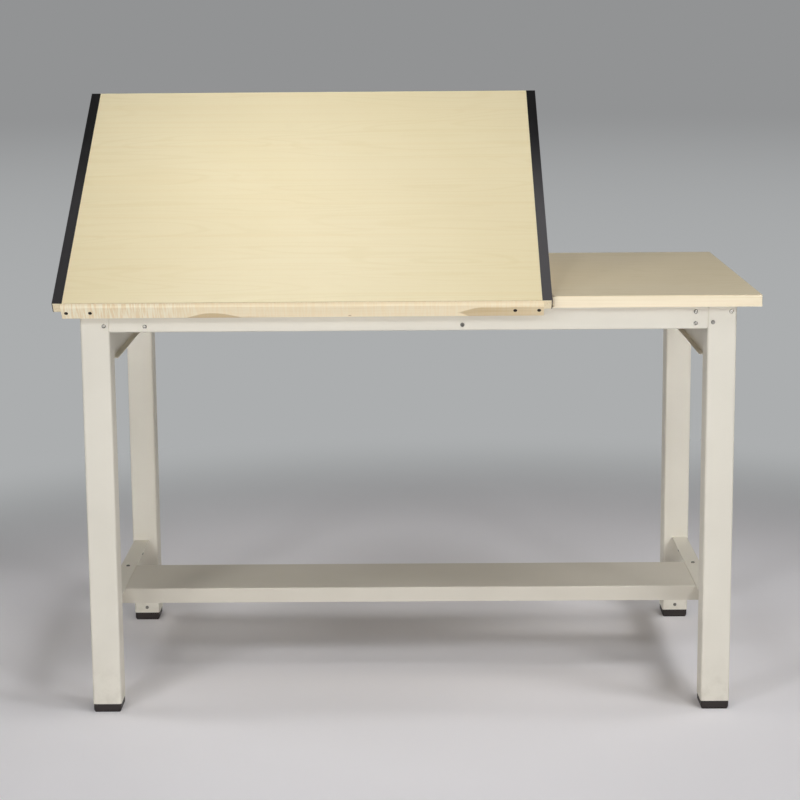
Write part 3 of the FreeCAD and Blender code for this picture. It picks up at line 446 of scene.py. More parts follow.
@dataclass(frozen=True)
class EdgeBand(Finish):
    """A thin matching band on a panel's edge, with a finer straight grain."""

    shade: Colour = paint(222, 200, 160)
    streak_cell: Triple = (0.30, 0.30, 1.6 * MM)
    line_cell: Triple = (0.02, 0.02, 0.35 * MM)
    streak_share: float = 0.35
    line_share: float = 0.30
    line_depth: float = 0.01 * MM
    rough: float = 0.42

    def fill(self, graph: Graph) -> None:
        """Streaks run along the band on all four sides, since they are thin in height only.

        Args:
            graph: The material's graph.
        """
        turn = Grain.LEVEL.value
        streaks = graph.noise(graph.turned(ORIGIN, turn, self.streak_cell), detail=3.0, roughness=0.6)
        lines = graph.noise(graph.turned(ORIGIN, turn, self.line_cell), detail=2.0)
        streaked = graph.blend(streaks.ramp(0.40, 0.72) * self.streak_share, self.colour, self.shade)
        lined = graph.blend(lines.ramp(0.60, 0.85) * self.line_share, streaked, self.shade)
        graph.surface({
            "Base Color": lined,
            "Roughness": self.rough + streaks * 0.10,
            "Normal": graph.relief(lines, self.line_depth, 0.8),
        })


@dataclass(frozen=True)
class PressedCore(Finish):
    """Sanded particle board: pressed chips of several tans in a paler dust."""

    chip: Colour = paint(176, 142, 96)
    pale: Colour = paint(226, 206, 168)
    dark: Colour = paint(128, 98, 62)
    grain: Grain = Grain.LEVEL
    long_chip: Triple = (7.0 * MM, 2.6 * MM, 1.8 * MM)
    cross_chip: Triple = (2.0 * MM, 5.0 * MM, 1.4 * MM)
    cross_centre: Triple = (0.4, 0.7, 0.0)
    chip_share: float = 0.6
    pale_share: float = 0.55
    dark_share: float = 0.55
    cloud_share: float = 0.18
    dust_share: float = 0.35
    pit_depth: float = 0.16 * MM
    rough: float = 0.70

    def fill(self, graph: Graph) -> None:
        """Chips are broken cells, longer than they are wide, in two sizes over fine dust.

        Args:
            graph: The material's graph.
        """
        turn = self.grain.value
        gap, tone = graph.cells(graph.turned(ORIGIN, turn, self.long_chip))
        cross_gap, cross_tone = graph.cells(graph.turned(self.cross_centre, turn, self.cross_chip))
        pick = graph.parts(tone)[0]
        cross_pick = graph.parts(cross_tone)[0]
        dust = graph.noise(graph.place(), scale=900.0, detail=3.0, roughness=0.7)
        clouds = graph.noise(graph.place(), scale=9.0, detail=3.0)
        chipped = graph.blend(pick.ramp(0.35, 0.95) * self.chip_share, self.colour, self.chip)
        paled = graph.blend(cross_pick.ramp(0.62, 1.0) * self.pale_share, chipped, self.pale)
        flecked = graph.blend(cross_pick.ramp(0.12, 0.0) * self.dark_share, paled, self.dark)
        clouded = graph.blend(clouds.ramp(0.35, 0.75) * self.cloud_share, flecked, self.chip)
        dusted = graph.blend(dust.ramp(0.45, 0.8) * self.dust_share, clouded, self.pale)
        graph.surface({
            "Base Color": dusted,
            "Roughness": self.rough + dust * 0.18,
            "Normal": graph.relief(gap * 0.4 + cross_gap * 0.3 + dust * 0.3, self.pit_depth, 0.7),
        })


@dataclass(frozen=True)
class LacqueredMaple(Finish):
    """Solid maple under clear lacquer: fiddleback figure, fine lines and streaks of heartwood."""

    line: Colour = paint(232, 206, 160)
    figure: Colour = paint(255, 246, 220)
    heart: Colour = paint(188, 158, 104)
    knot: Colour = paint(170, 124, 74)
    sway_cell: Triple = (0.05, 0.02, 0.030)
    band_cell: Triple = (3.4 * MM, 0.08, 0.045)
    line_cell: Triple = (0.22, 0.9 * MM, 0.9 * MM)
    curly_end: float = -0.46
    line_share: float = 0.34
    curl_share: float = 0.32
    heart_share: float = 0.75
    knot_share: float = 0.6
    wave_height: float = 9.0 * MM
    low_streak: Pair = (-0.418, 0.062)
    low_streak_height: float = 14.0 * MM
    tail_height: float = 4.0 * MM
    right_streak: Pair = (0.10, 0.32)
    right_tip_height: float = 12.0 * MM
    right_rise: float = 14.0 * MM
    right_fall: float = 22.0 * MM
    right_opening: float = 0.06
    right_fading: float = 0.42
    knot_at: float = -0.125
    knot_height: float = 5.0 * MM
    knot_half: Pair = (4.0 * MM, 1.8 * MM)

    def fill(self, graph: Graph) -> None:
        """The figure is bands across the grain; each heartwood streak is a soft-edged shape.

        Args:
            graph: The material's graph.
        """
        turn = Grain.BOARD.value
        along, _, up = graph.parts(graph.turned(PIVOT, turn, (1.0, 1.0, 1.0)))
        wave = (graph.noise(graph.turned(PIVOT, turn, self.sway_cell)) - 0.5) * self.wave_height
        bands = graph.noise(graph.turned(PIVOT, turn, self.band_cell), detail=1.0, distortion=0.45)
        lines = graph.noise(graph.turned(PIVOT, turn, self.line_cell), detail=3.0, roughness=0.6)
        strong = along.ramp(self.curly_end + 0.05, self.curly_end - 0.12)
        figure = bands.ramp(0.36, 0.64) * (0.30 + 0.55 * strong)
        curl = bands.ramp(0.62, 0.40) * strong * self.curl_share
        toned = graph.blend(lines.ramp(0.42, 0.75) * self.line_share + curl, self.colour, self.line)
        figured = graph.blend(figure, toned, self.figure)

        streaks = self.low_mask(along, up, wave) + self.right_mask(along, up, wave)
        veins = 0.62 + 0.38 * lines.ramp(0.3, 0.7)
        hearted = graph.blend(streaks * veins * self.heart_share, figured, self.heart)

        knot_wide, knot_high = self.knot_half
        beside = ((along - self.knot_at) / knot_wide) ** 2.0
        above = ((up - APRON_FLOOR - self.knot_height) / knot_high) ** 2.0
        knotted = graph.blend((beside + above).ramp(1.2, 0.2) * self.knot_share, hearted, self.knot)
        graph.surface({
            "Base Color": knotted,
            "Roughness": 0.34 + lines * 0.12 - figure * 0.05,
            "Coat Weight": 0.15 + lines * 0.05,
            "Coat Roughness": 0.25,
            "Normal": graph.relief(lines * 0.6 + bands * 0.4, 0.05 * MM, 0.6),
        })

    def low_mask(self, along: Signal, up: Signal, wave: Signal) -> Signal:
        """The heartwood that shows along the lower edge: a low dome with a thin tail.

        Args:
            along: The place along the apron, in metres from the table's middle.
            up: The place above the pivot, across the apron, in metres.
            wave: The waviness of the streaks' edges, in metres.

        Returns:
            How much heartwood shows, from 0 to 1.
        """
        middle, reach = self.low_streak
        offset = (along - middle) / reach
        dome = 1.0 - offset * offset
        edge = APRON_FLOOR + dome * self.low_streak_height + wave * 0.5
        body = (edge - up).ramp(-1.2 * MM, 1.6 * MM) * dome.ramp(-0.35, 0.1)
        past = along - middle
        length = past.ramp(reach * 0.6, reach) * past.ramp(reach * 2.6, reach)
        tail_edge = APRON_FLOOR + self.tail_height + wave * 0.4
        tail = (tail_edge - up).ramp(-1.0 * MM, 1.5 * MM) * length * 0.5
        return body + tail

    def right_mask(self, along: Signal, up: Signal, wave: Signal) -> Signal:
        """The heartwood at the right end: it opens from a tip and fades towards the end.

        Args:
            along: The place along the apron, in metres from the table's middle.
            up: The place above the pivot, across the apron, in metres.
            wave: The waviness of the streaks' edges, in metres.

        Returns:
            How much heartwood shows, from 0 to 1.
        """
        start, end = self.right_streak
        opening = (along - start).ramp(0.0, self.right_opening)
        tip = APRON_FLOOR + self.right_tip_height
        top = tip + opening * self.right_rise + wave * 0.5
        bottom = tip - opening * self.right_fall + wave * 0.4
        return (
            (top - up).ramp(-1.5 * MM, 2.0 * MM)
            * (up - bottom).ramp(-1.5 * MM, 2.0 * MM)
            * (along - start).ramp(0.0, 0.02)
            * along.ramp(end + 0.02, end)
            * (1.0 - self.right_fading * along.ramp(start + 0.05, end))
        )


@dataclass(frozen=True)
class PlanedSoftwood(Finish):
    """Planed spruce: pale wood with darker, uneven yearly lines along its length."""

    late: Colour = paint(206, 170, 118)
    bend_cell: Triple = (0.05, 0.55, 0.05)
    fibre_cell: Triple = (0.8 * MM, 0.05, 0.8 * MM)
    years_across: float = 900.0
    years_up: float = 260.0
    years_bend: float = 24.0
    year_share: float = 0.45
    fibre_share: float = 0.25
    fibre_depth: float = 0.10 * MM
    rough: float = 0.62

    def fill(self, graph: Graph) -> None:
        """Yearly lines are sines of the place across, bent by slow noise along the piece.

        Args:
            graph: The material's graph.
        """
        turn = Grain.BOARD.value
        bend = graph.noise(graph.turned(PIVOT, turn, self.bend_cell))
        across, _, up = graph.parts(graph.turned(PIVOT, turn, (1.0, 1.0, 1.0)))
        phase = across * self.years_across + up * self.years_up + bend * self.years_bend
        years = phase.sine().ramp(0.1, 1.0)
        fibres = graph.noise(graph.turned(PIVOT, turn, self.fibre_cell))
        lined = graph.blend(years * self.year_share, self.colour, self.late)
        fibred = graph.blend(fibres.ramp(0.5, 0.8) * self.fibre_share, lined, self.late)
        graph.surface({
            "Base Color": fibred,
            "Roughness": self.rough + fibres * 0.15,
            "Normal": graph.relief(fibres * 0.6 + years * 0.4, self.fibre_depth, 0.7),
        })


@dataclass(frozen=True)
class BlackSteel(Finish):
    """Blackened smooth steel: a deep even black with a satin sheen and faint handling marks."""

    # The paler colour of the handling marks and of the painted sheen towards the user.
    marks_and_sheen: Colour = paint(79, 77, 79)
    sheen_share: float = 0.33
    sheen_from: float = 0.60
    sheen_to: float = 0.22
    drawn_cell: Triple = (0.5 * MM, 0.12, 0.5 * MM)
    smear_cell: Triple = (0.02, 0.09, 0.02)
    mark_share: float = 0.06
    drawn_share: float = 0.04
    drawn_depth: float = 0.008 * MM
    rough: float = 0.30

    def fill(self, graph: Graph) -> None:
        """Drawn lines follow the strip, which turns paler towards the user as a painted sheen.

        Args:
            graph: The material's graph.
        """
        turn = Grain.BOARD.value
        _, across, _ = graph.parts(graph.turned(PIVOT, turn, (1.0, 1.0, 1.0)))
        # Painted sheen: the base colour turns paler towards the user, standing in for a reflection.
        painted_sheen = across.ramp(self.sheen_from, self.sheen_to) * self.sheen_share
        drawn = graph.noise(graph.turned(PIVOT, turn, self.drawn_cell))
        smears = graph.noise(graph.turned(PIVOT, turn, self.smear_cell), detail=4.0, roughness=0.6)
        marks = smears.ramp(0.48, 0.80)
        pale = painted_sheen + marks * self.mark_share + drawn.ramp(0.55, 0.9) * self.drawn_share
        graph.surface({
            "Base Color": graph.blend(pale, self.colour, self.marks_and_sheen),
            "Roughness": self.rough + marks * 0.12 + drawn * 0.06,
            "Specular IOR Level": 0.2,
            "Normal": graph.relief(drawn, self.drawn_depth, 0.7),
        })


@dataclass(frozen=True)
class PlatedSteel(Finish):
    """Plated or bare steel: brushed, with cloudy plating and small dull spots."""

    cloud: Colour = paint(168, 172, 180)
    rough: float = 0.30
    line_cell: Triple = (0.6 * MM, 12.0 * MM, 0.6 * MM)
    line_depth: float = 0.01 * MM
    cloud_share: float = 0.7

    def fill(self, graph: Graph) -> None:
        """Clouds shift the plating's tint; short lines and spots break up the shine.

        Args:
            graph: The material's graph.
        """
        at = graph.place()
        clouds = graph.noise(at, scale=60.0, detail=3.0, roughness=0.6)
        lines = graph.noise(graph.turned(ORIGIN, Grain.LEVEL.value, self.line_cell))
        spots = graph.noise(at, scale=320.0).ramp(0.62, 0.75)
        graph.surface({
            "Base Color": graph.blend(clouds.ramp(0.3, 0.7) * self.cloud_share, self.colour, self.cloud),
            "Metallic": 1.0 - spots * 0.2,
            "Roughness": self.rough + clouds * 0.14 + spots * 0.15,
            "Normal": graph.relief(lines, self.line_depth, 0.7),
        })


@dataclass(frozen=True)
class MouldedPlastic(Finish):
    """Moulded plastic with a fine spark-eroded grain and a touch of dust on it."""

    dust: Colour = paint(120, 112, 106)
    grain: float = 0.7 * MM
    grain_depth: float = 0.04 * MM
    dusting: float = 0.12
    rough: float = 0.48

    def fill(self, graph: Graph) -> None:
        """Grain is fine noise; dust is a patchy veil.

        Args:
            graph: The material's graph.
        """
        at = graph.place()
        grain = graph.noise(at, scale=1.0 / self.grain, roughness=0.6)
        veil = graph.noise(at, scale=55.0, detail=4.0, roughness=0.65).ramp(0.42, 0.78)
        graph.surface({
            "Base Color": graph.blend(veil * self.dusting, self.colour, self.dust),
            "Roughness": self.rough + veil * 0.15 + grain * 0.08,
            "Normal": graph.relief(grain, self.grain_depth, 0.8),
        })


# --- Sub-assemblies ------


@dataclass(frozen=True)
class Easing:
    """The small rounding that a maker gives the sharp edges of a piece."""

    radius: float
    steps: int = 2
    sharpest: float = math.radians(32.0)
    flattest: float = math.radians(0.5)
    shortest: float = 9.0 * MM
    weld: float = 0.005 * MM

    def copy(self, node: str) -> bpy.types.Object:
        """Copy a CAD node, weld it and round its long sharp edges; holes keep their rims.

        Args:
            node: The CAD node's name.

        Returns:
            The rounded piece, with its place in its mesh.
        """
        shape = bmesh.new()
        shape.from_mesh(frame["nodes"][node].data)
        bmesh.ops.remove_doubles(shape, verts=shape.verts, dist=self.weld)
        bmesh.ops.dissolve_limit(shape, angle_limit=self.flattest, verts=shape.verts, edges=shape.edges)
        weight = shape.edges.layers.float.new("bevel_weight_edge")
        for edge in shape.edges:
            long = edge.calc_length() > self.shortest
            edge[weight] = float(long and edge.is_manifold and edge.calc_face_angle() > self.sharpest)
            edge.smooth = False
        mesh = bpy.data.meshes.new(f"{node}_eased")
        shape.to_mesh(mesh)
        shape.free()
        piece = bpy.data.objects.new(f"{node}_eased", mesh)
        bpy.context.scene.collection.objects.link(piece)
        rounding = piece.modifiers.new("rounding", "BEVEL")
        rounding.limit_method = "WEIGHT"
        rounding.width = self.radius
        rounding.segments = self.steps
        return piece


@dataclass
class SubAssembly:
    """A group of CAD nodes on one body, with the finish that each takes."""

    body: str = "base"
    finishes: dict[str, bpy.types.Material] = field(default_factory=dict)

    def dress(self, finish: Finish, *nodes: str) -> None:
        """Give CAD nodes a finish.

        Args:
            finish: The finish; its material is made once.
            nodes: The nodes that take it.
        """
        if finish.name not in self.finishes:
            self.finishes[finish.name] = finish.material()
        for node in nodes:
            slots = frame["nodes"][node].data.materials
            for index in range(len(slots)):
                slots[index] = self.finishes[finish.name]
            log.info("dressed %s in %s", node, finish.name)

    def ease(self, radius: float, *nodes: str) -> None:
        """Stand rounded copies in for dressed CAD nodes.

        Args:
            radius: The rounding of the edges, in metres.
            nodes: The nodes, already dressed.
        """
        for node in nodes:
            source = frame["nodes"][node]
            piece = Easing(radius).copy(node)
            piece.data.materials.append(source.data.materials[0])
            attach(piece, self.body)
            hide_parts(node)
            log.info("eased %s by %.1f mm", node, radius / MM)

    def build(self) -> None:
        """Make the pieces and dress them. Each sub-assembly has its own."""
        raise NotImplementedError


POWDER = PowderCoat("frame_paint", paint(226, 221, 208))
# The frame's coat one shade darker: painted shade on the footrest, which lies under the table top.
SHADED_FOOTREST_POWDER = PowderCoat("footrest_shaded_paint", paint(214, 208, 195))
ZINC = PlatedSteel("zinc_steel", paint(198, 197, 193), cloud=paint(172, 172, 170), rough=0.34)
BRIGHT = PlatedSteel("bright_steel", paint(206, 206, 205), rough=0.24)
SCREW = PlatedSteel("zinc_screw", paint(140, 137, 131), cloud=paint(98, 96, 93), rough=0.20)
DARK_SCREW = PlatedSteel("dark_screw", paint(74, 68, 62), cloud=paint(48, 44, 42), rough=0.40)
BLACK = MouldedPlastic("foot_plastic", paint(33, 24, 22), dusting=0.06)


@dataclass
class SteelBase(SubAssembly):
    """The legs, feet, rails, aprons and footrest."""

    corners: tuple[str, ...] = ("front_left", "front_right", "back_left", "back_right")

    def build(self) -> None:
        """Dress the painted steel, its feet and its screws."""
        self.dress(POWDER, *(f"leg_{corner}" for corner in self.corners))
        self.dress(POWDER, "rail_front", "rail_back")
        # The footrest takes the darker coat as painted shade.
        self.dress(SHADED_FOOTREST_POWDER, "footrest_shelf")
        self.dress(POWDER, *(f"side_apron_{side}" for side in SIDES))
        self.dress(POWDER, *(f"lower_rail_{side}" for side in SIDES))
        self.dress(POWDER, *(f"cross_member_{place}" for place in (*SIDES, "middle")))
        self.dress(BLACK, "leg_top_plugs", *(f"foot_{corner}" for corner in self.corners))
        self.dress(SCREW, "rail_screws", "leg_screws", "side_apron_screws", "lower_rail_screws",
                   "footrest_screws", "foot_screws")
        self.ease(0.8 * MM, "rail_front", "rail_back", "footrest_shelf", "lower_rail_left",
                  "lower_rail_right", "side_apron_left", "side_apron_right")


@dataclass
class FixedSurface(SubAssembly):
    """The fixed work surface on the right."""

    figure_centre: Triple = (0.53, 0.1, 0.9)

    def build(self) -> None:
        """Dress the laminate, the edge band and the core."""
        self.dress(MapleLaminate("fixed_laminate", paint(240, 224, 190), centre=self.figure_centre),
                   "fixed_top_laminate")
        self.dress(EdgeBand("edge_band", paint(243, 229, 200)), "fixed_top_edge_band")
        self.dress(PressedCore("fixed_core", paint(204, 176, 130)), "fixed_top_core")
        self.dress(SCREW, "fixed_top_screws")
        self.ease(0.5 * MM, "fixed_top_laminate")


@dataclass
class DrawingBoard(SubAssembly):
    """The tilting board with its steel edges, its wooden apron and its cleats."""

    body: str = "board"

    def build(self) -> None:
        """Dress the board's layers, strips and fixings."""
        self.dress(MapleLaminate("board_laminate", paint(231, 218, 181), grain=Grain.BOARD,
                                 centre=tuple(PIVOT)), "board_laminate")
        # Paler than the fixed top's core as painted light: the board's front edge faces down and gets little
        # light.
        self.dress(PressedCore("board_core", paint(244, 230, 198), chip=paint(232, 212, 172),
                               dark=paint(204, 178, 136), grain=Grain.BOARD), "board_core")
        # Paler than the maple itself as painted light: the apron's face looks down and gets little light.
        self.dress(LacqueredMaple("apron_maple", paint(254, 236, 199)), "front_apron")
        self.dress(PlanedSoftwood("cleat_wood", paint(234, 212, 170)),
                   "board_cleat_left", "board_cleat_right")
        # Both edges carry a painted sheen towards the user; the right one's is much stronger.
        self.dress(BlackSteel("black_steel_left", paint(13, 11, 11)), "steel_edge_left")
        self.dress(BlackSteel("black_steel_right", paint(13, 11, 11), sheen_share=0.95), "steel_edge_right")
        self.dress(DARK_SCREW, "front_apron_screws", "steel_edge_screws", "cleat_screws")
        self.dress(SCREW, "board_arm_screws")
        self.ease(0.4 * MM, "board_laminate")
        self.ease(1.0 * MM, "front_apron", "board_cleat_left", "board_cleat_right")
        self.ease(0.7 * MM, "steel_edge_left", "steel_edge_right")


class TiltGear(SubAssembly):
    """The pivots, the slotted arcs and the clamp bolts that hold the board at its angle."""

    def build(self) -> None:
        """Dress the gear on both sides."""
        for side in SIDES:
            self.dress(ZINC, f"pivot_fork_{side}", f"arc_plate_{side}", f"board_arm_{side}")
            self.dress(BRIGHT, f"pivot_pin_{side}", f"clamp_bolt_{side}", f"clamp_spacer_{side}")
        self.dress(BRIGHT, "pin_clips", "arc_plate_rivets")
        self.dress(MouldedPlastic("washer_nylon", paint(230, 227, 214), dust=paint(200, 194, 178),
                                  rough=0.4), "clamp_washers")
        self.dress(SCREW, "pivot_fork_screws")


def bend(centre: Pair, radius: float, start: float, end: float, steps: int = 7) -> np.ndarray:
    """Round a corner of a profile.

    The points are the centre plus the radius times the cosine and sine of an even run of angles.

    Args:
        centre: The arc's centre, along the axis and out from it, in metres.
        radius: The arc's radius, in metres.
        start: The first angle, in degrees from the axis.
        end: The last angle, in degrees from the axis.
        steps: The number of points.

    Returns:
        One row to a point: its place along the axis, and out from it.
    """
    turn = np.radians(np.linspace(start, end, steps))
    return np.column_stack((centre[0] + radius * np.cos(turn), centre[1] + radius * np.sin(turn)))


def turned_mesh(name: str, along: np.ndarray, out: np.ndarray, seat: Vector, axis: Vector) -> bpy.types.Mesh:
    """Carry a profile round an axis and close it with a point at each end.

    A point is the seat, plus its place along the axis, plus its distance out from the axis
    towards the cosine and sine of its angle. The first and last rows shrink to one point each.

    Args:
        name: The mesh's name.
        along: Each profile point's place along the axis, in metres.
        out: Its distance from the axis at each angle, one row to a profile point.
        seat: Where the axis starts.
        axis: The axis, of length 1.

    Returns:
        The mesh, smooth and facing outwards.
    """
    rows, columns = out.shape
    turn = np.linspace(0.0, 2.0 * math.pi, columns, endpoint=False)
    first = axis.orthogonal().normalized()
    second = axis.cross(first)
    round_about = np.outer(np.cos(turn), first) + np.outer(np.sin(turn), second)
    points = np.array(seat) + along[:, None, None] * np.array(axis) + out[..., None] * round_about
    inner = points[1:-1].reshape(-1, 3)
    ring = np.arange((rows - 2) * columns).reshape(rows - 2, columns) + 1
    beside = np.roll(ring, -1, axis=1)
    walls = np.stack((ring[:-1], beside[:-1], beside[1:], ring[1:]), axis=-1).reshape(-1, 4)
    start = np.column_stack((np.zeros(columns, dtype=int), beside[0], ring[0]))
    end = np.column_stack((ring[-1], beside[-1], np.full(columns, len(inner) + 1)))
    mesh = bpy.data.meshes.new(name)
    mesh.from_pydata(np.vstack((points[0, :1], inner, points[-1, :1])).tolist(), [],
                     walls.tolist() + start.tolist() + end.tolist())
    mesh.shade_smooth()
    return mesh


@dataclass
class HandKnob(SubAssembly):
    """A moulded hand knob with soft lobes, blind-bored for the end of its bolt."""

    side: str = "left"
    radius: float = 19.0 * MM
    hub_radius: float = 10.0 * MM
    hub_height: float = 6.0 * MM
    hub_round: float = 0.8 * MM
    hub_fillet: float = 1.2 * MM
    bore_radius: float = 4.2 * MM
    bore_play: float = 0.6 * MM
    lobes: int = 6
    lobes_from: float = 12.0 * MM
    flute_depth: float = 3.5 * MM
    flute_power: float = 1.8
    top_round: float = 3.0 * MM
    under_round: float = 1.6 * MM
    dish_radius: float = 11.0 * MM
    dish_round: float = 0.5 * MM
    dish_depth: float = 1.5 * MM
    dish_crown: float = 0.5 * MM
    seam: float = 0.12 * MM
    around: int = 144
    rim_steps: int = 11
    dish_steps: int = 5
    crown_steps: int = 6

    def build(self) -> None:
        """Make the knob on its bolt, in place of the plain one."""
        node = f"clamp_knob_{self.side}"
        joint = joint_named(f"{node}_turn")
        axis = Vector(joint["axis"])
        seat = Vector(joint["pos_m"])
        low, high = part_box(node)
        bolt_low, bolt_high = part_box(f"clamp_bolt_{self.side}")
        seat.x = low[0] if axis.x > 0.0 else high[0]
        bolt_end = bolt_high[0] if axis.x > 0.0 else bolt_low[0]
        bore = abs(bolt_end - seat.x) + self.bore_play
        profile = self.profile(high[0] - low[0], bore)
        mesh = turned_mesh(f"{node}_lobed", profile[:, 0], self.lobed(profile[:, 1]), seat, axis)
        mesh.materials.append(self.plastic().material())
        piece = bpy.data.objects.new(f"{node}_lobed", mesh)
        bpy.context.scene.collection.objects.link(piece)
        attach(piece, f"knob_{self.side}")
        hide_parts(node)
        log.info("moulded %s", node)

    def plastic(self) -> MouldedPlastic:
        """The knob's finish: black, with a fine grain."""
        return MouldedPlastic(f"knob_plastic_{self.side}", paint(30, 28, 28), grain=0.5 * MM, dusting=0.08)

    def profile(self, height: float, bore: float) -> np.ndarray:
        """Draw half the knob's section, from the bottom of its bore to the middle of its dish.

        The bore runs to the hub's face; the hub's corner, its fillet under the grip, the grip's
        two rims and the dish's lip and foot are arcs; the dish's floor is a parabola.

        Args:
            height: The knob's height along its axis, in metres.
            bore: The bore's depth, in metres.

        Returns:
            One row to a point: its place along the axis, and out from it.
        """
        mouth = self.bore_radius + self.hub_round / 2.0
        middle = (self.hub_height + height) / 2.0
        lip = height - self.dish_round
        foot = height - self.dish_depth
        floor = np.linspace(self.dish_radius - 2.0 * self.dish_round, 0.0, self.crown_steps)
        crown = foot + self.dish_crown * (1.0 - (floor / floor[0]) ** 2)
        return np.vstack((
            [(bore, 0.0), (bore, self.bore_radius),
             (self.hub_round / 2.0, self.bore_radius), (0.0, mouth)],
            bend((self.hub_round, self.hub_radius - self.hub_round), self.hub_round, 180.0, 90.0),
            bend((self.hub_height - self.hub_fillet, self.hub_radius + self.hub_fillet),
                 self.hub_fillet, -90.0, 0.0),
            bend((self.hub_height + self.under_round, self.radius - self.under_round),
                 self.under_round, 180.0, 90.0),
            [(middle - 2.0 * self.seam, self.radius), (middle, self.radius + self.seam),
             (middle + 2.0 * self.seam, self.radius)],
            bend((height - self.top_round, self.radius - self.top_round),
                 self.top_round, 90.0, 0.0, self.rim_steps),
            bend((lip, self.dish_radius + self.dish_round), self.dish_round, 0.0, -90.0, self.dish_steps),
            bend((foot + self.dish_round, self.dish_radius - self.dish_round),
                 self.dish_round, 90.0, 180.0, self.dish_steps),
            np.column_stack((crown, floor)),
        ))

    def lobed(self, out: np.ndarray) -> np.ndarray:
        """Press the finger flutes into the section.

        The radius drops by the flutes' depth times a raised cosine of the angle, with one wave
        to a lobe, and by less of it nearer the axis.

        Args:
            out: Each profile point's distance from the axis, in metres.

        Returns:
            The distance at each angle, one row to a profile point.
        """
        turn = np.linspace(0.0, 2.0 * math.pi, self.around, endpoint=False)
        flute = (0.5 + 0.5 * np.cos(self.lobes * turn)) ** self.flute_power
        full = self.radius - self.top_round
        share = np.clip((out - self.lobes_from) / (full - self.lobes_from), 0.0, 1.0)
        return out[:, None] - self.flute_depth * share[:, None] * flute[None, :]


# --- Studio --------------


@dataclass
class Lamp:
    """One soft lamp; its angles are in degrees."""

    name: str
    azimuth: float
    elevation: float
    level: float
    size: float
    distance: float = 4.0
    spread: float = 180.0
    aim: Triple = (0.0, 0.0, 0.8)
    glossy: bool = True

    def build(self) -> None:
        """Place the lamp round its aim and turn it there.

        A flat lamp of power P lights a surface d away that faces it with P / (pi d d), and a
        white surface then shows P / (pi d) squared, so P is the level times (pi d) squared. A
        beam of half angle h is brighter on its axis by tan h / (tan h - h), which is taken off.
        """
        turn = math.radians(self.azimuth)
        lift = math.radians(self.elevation)
        towards = Vector((math.sin(turn) * math.cos(lift), -math.cos(turn) * math.cos(lift), math.sin(lift)))
        light = bpy.data.lights.new(self.name, "AREA")
        light.shape = "DISK"
        light.size = self.size
        half_beam = math.radians(min(self.spread, WIDEST_BEAM)) / 2.0
        share = 1.0 - half_beam / math.tan(half_beam)
        light.energy = self.level * (math.pi * self.distance) ** 2 * share
        light.spread = math.radians(self.spread)
        lamp = bpy.data.objects.new(self.name, light)
        lamp.location = Vector(self.aim) + towards * self.distance
        lamp.rotation_euler = towards.to_track_quat("Z", "Y").to_euler()
        lamp.visible_glossy = self.glossy
        bpy.context.scene.collection.objects.link(lamp)


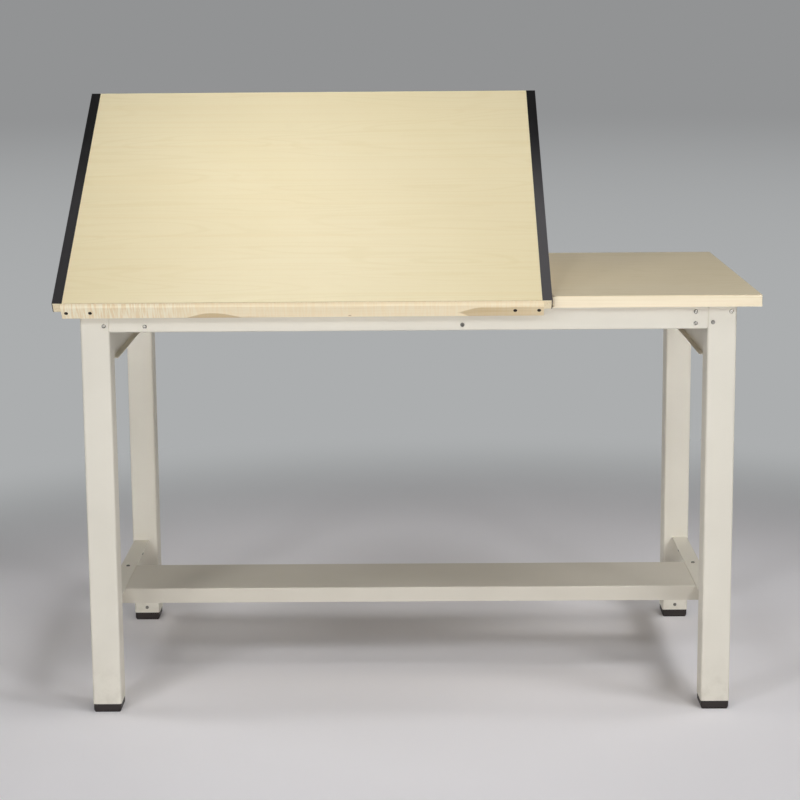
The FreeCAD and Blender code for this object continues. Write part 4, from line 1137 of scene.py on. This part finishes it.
@dataclass
class Studio:
    """A pale floor that fades to grey, soft lamps, and a camera with its angles in radians."""

    floor_radius: float = 60.0
    floor_sides: int = 128
    # The pale area is centred right of and in front of the table, so the floor turns grey sooner on the
    # left: painted shade there.
    pale_offset: Triple = (-0.2, 0.4, 0.0)
    pale_fade: Pair = (1.5, 2.8)
    shadow_fade: Pair = (1.6, 2.9)
    haze_fade: Pair = (4.0, 26.0)
    ambient: float = 0.05
    near: Colour = paint(246, 244, 247)
    far: Colour = paint(146, 147, 148)
    haze: Colour = paint(172, 174, 175)
    knee: Triple = (0.0, 0.0, 0.25)
    raised_board: Triple = (-0.36, -0.05, 1.12)
    front_left: Triple = (-0.45, 0.0, 1.0)
    front_right: Triple = (0.45, 0.0, 1.0)
    sensor: float = 36.0
    focal_length: float = 86.157
    shift: float = -0.1
    reach: float = 200.0
    eye: Triple = (0.010957, -4.428521, 1.548202)
    heading: float = 0.006923
    dip: float = 0.160624
    roll: float = -0.007828

    def build(self) -> None:
        """Make the floor, the world, the lamps and the camera."""
        self.floor()
        self.world()
        for lamp in self.lamps():
            lamp.build()
        self.camera()

    def lamps(self) -> tuple[Lamp, ...]:
        """Choose the lamps: keys and fills in front, one above the board, weak ones behind.

        Returns:
            The lamps, not yet built.
        """
        return (
            Lamp("high_right", 60.0, 47.0, 0.235, 1.0, distance=3.6),
            Lamp("key_left", -35.0, 28.0, 0.18, 1.0, distance=4.4),
            Lamp("key_right", 35.0, 28.0, 0.175, 1.0, distance=4.4),
            Lamp("overhead", 0.0, 81.0, 0.42, 0.36, distance=2.2, spread=50.0, aim=self.raised_board),
            Lamp("front_left", -12.0, 0.5, 0.28, 1.0, distance=4.6, spread=70.0, aim=self.front_left),
            Lamp("front_right", 12.0, 0.5, 0.29, 1.0, distance=4.6, spread=70.0, aim=self.front_right),
            Lamp("side_left", -100.0, 4.0, 0.10, 1.0),
            Lamp("side_right", 95.0, 45.0, 0.08, 1.0, distance=3.6),
            Lamp("back_left", -164.0, 1.0, 0.19, 0.6, aim=self.knee, glossy=False),
            Lamp("back_right", 164.0, 1.0, 0.16, 0.6, aim=self.knee, glossy=False),
        )

    def floor(self) -> None:
        """A flat disc. Its shade is the floor's own near the table and a set grey far off."""
        turns = np.linspace(0.0, 2.0 * math.pi, self.floor_sides, endpoint=False)
        ring = np.column_stack((np.cos(turns), np.sin(turns), np.zeros_like(turns))) * self.floor_radius
        mesh = bpy.data.meshes.new("floor")
        mesh.from_pydata(ring.tolist(), [], [list(range(self.floor_sides))])
        disc = bpy.data.objects.new("floor", mesh)
        bpy.context.scene.collection.objects.link(disc)
        material = bpy.data.materials.new("floor")
        graph = Graph(material)
        at = graph.node("ShaderNodeMapping", None, {"Vector": graph.place(), "Location": self.pale_offset})
        length = graph.node("ShaderNodeVectorMath", {"operation": "LENGTH"}, {0: at.outputs[0]})
        away = Signal(graph, length.outputs["Value"])
        shade = graph.blend(away.ramp(*self.pale_fade), self.near, self.haze)
        matt = graph.node("ShaderNodeBsdfDiffuse", None, {"Color": shade})
        tone = graph.blend(away.ramp(*self.haze_fade), self.haze, self.far)
        glow = graph.node("ShaderNodeEmission", None, {"Color": tone, "Strength": self.seen(graph)})
        mixed = graph.node("ShaderNodeMixShader", None, {
            0: away.ramp(*self.shadow_fade),
            1: matt.outputs[0],
            2: glow.outputs[0],
        })
        graph.node("ShaderNodeOutputMaterial", None, {"Surface": mixed.outputs[0]})
        mesh.materials.append(material)

    def seen(self, graph: Graph) -> Signal:
        """Pick out the rays that show the backdrop to the eye, straight or by a reflection.

        Args:
            graph: The graph that asks.

        Returns:
            1 for such a ray and 0 for any other.
        """
        path = graph.node("ShaderNodeLightPath")
        rays = [Signal(graph, path.outputs[name])
                for name in ("Is Camera Ray", "Is Glossy Ray", "Is Transmission Ray")]
        return (rays[0] + rays[1] + rays[2]).ramp(0.0, 1.0)

    def world(self) -> None:
        """The backdrop's grey to the eye, and a weak even light on everything else."""
        world = bpy.data.worlds.new("studio")
        bpy.context.scene.world = world
        graph = Graph(world)
        even = (self.ambient, self.ambient, self.ambient)
        colour = graph.blend(self.seen(graph), even, self.far)
        shown = graph.node("ShaderNodeBackground", None, {"Color": colour, "Strength": 1.0})
        graph.node("ShaderNodeOutputWorld", None, {"Surface": shown.outputs[0]})

    def camera(self) -> None:
        """The camera stands in front of the table, a little above it, and looks slightly down."""
        lens = bpy.data.cameras.new("camera")
        lens.sensor_width = self.sensor
        lens.lens = self.focal_length
        lens.shift_y = self.shift
        lens.clip_end = self.reach
        seat = bpy.data.objects.new("camera", lens)
        turn = Matrix.Rotation(self.heading, 4, "Z")
        nod = Matrix.Rotation(math.radians(90.0) - self.dip, 4, "X")
        lean = Matrix.Rotation(self.roll, 4, "Z")
        seat.matrix_world = Matrix.Translation(self.eye) @ turn @ nod @ lean
        bpy.context.scene.collection.objects.link(seat)
        bpy.context.scene.camera = seat


def main() -> None:
    """Build the table's looks and the studio."""
    logging.basicConfig(level=logging.INFO, format="%(message)s")
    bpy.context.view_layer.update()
    bpy.context.scene.view_settings.view_transform = "Standard"
    Studio().build()
    knobs = (HandKnob(side=side) for side in SIDES)
    for group in (SteelBase(), FixedSurface(), DrawingBoard(), TiltGear(), *knobs):
        group.build()


if __name__ == "__main__":
    main()
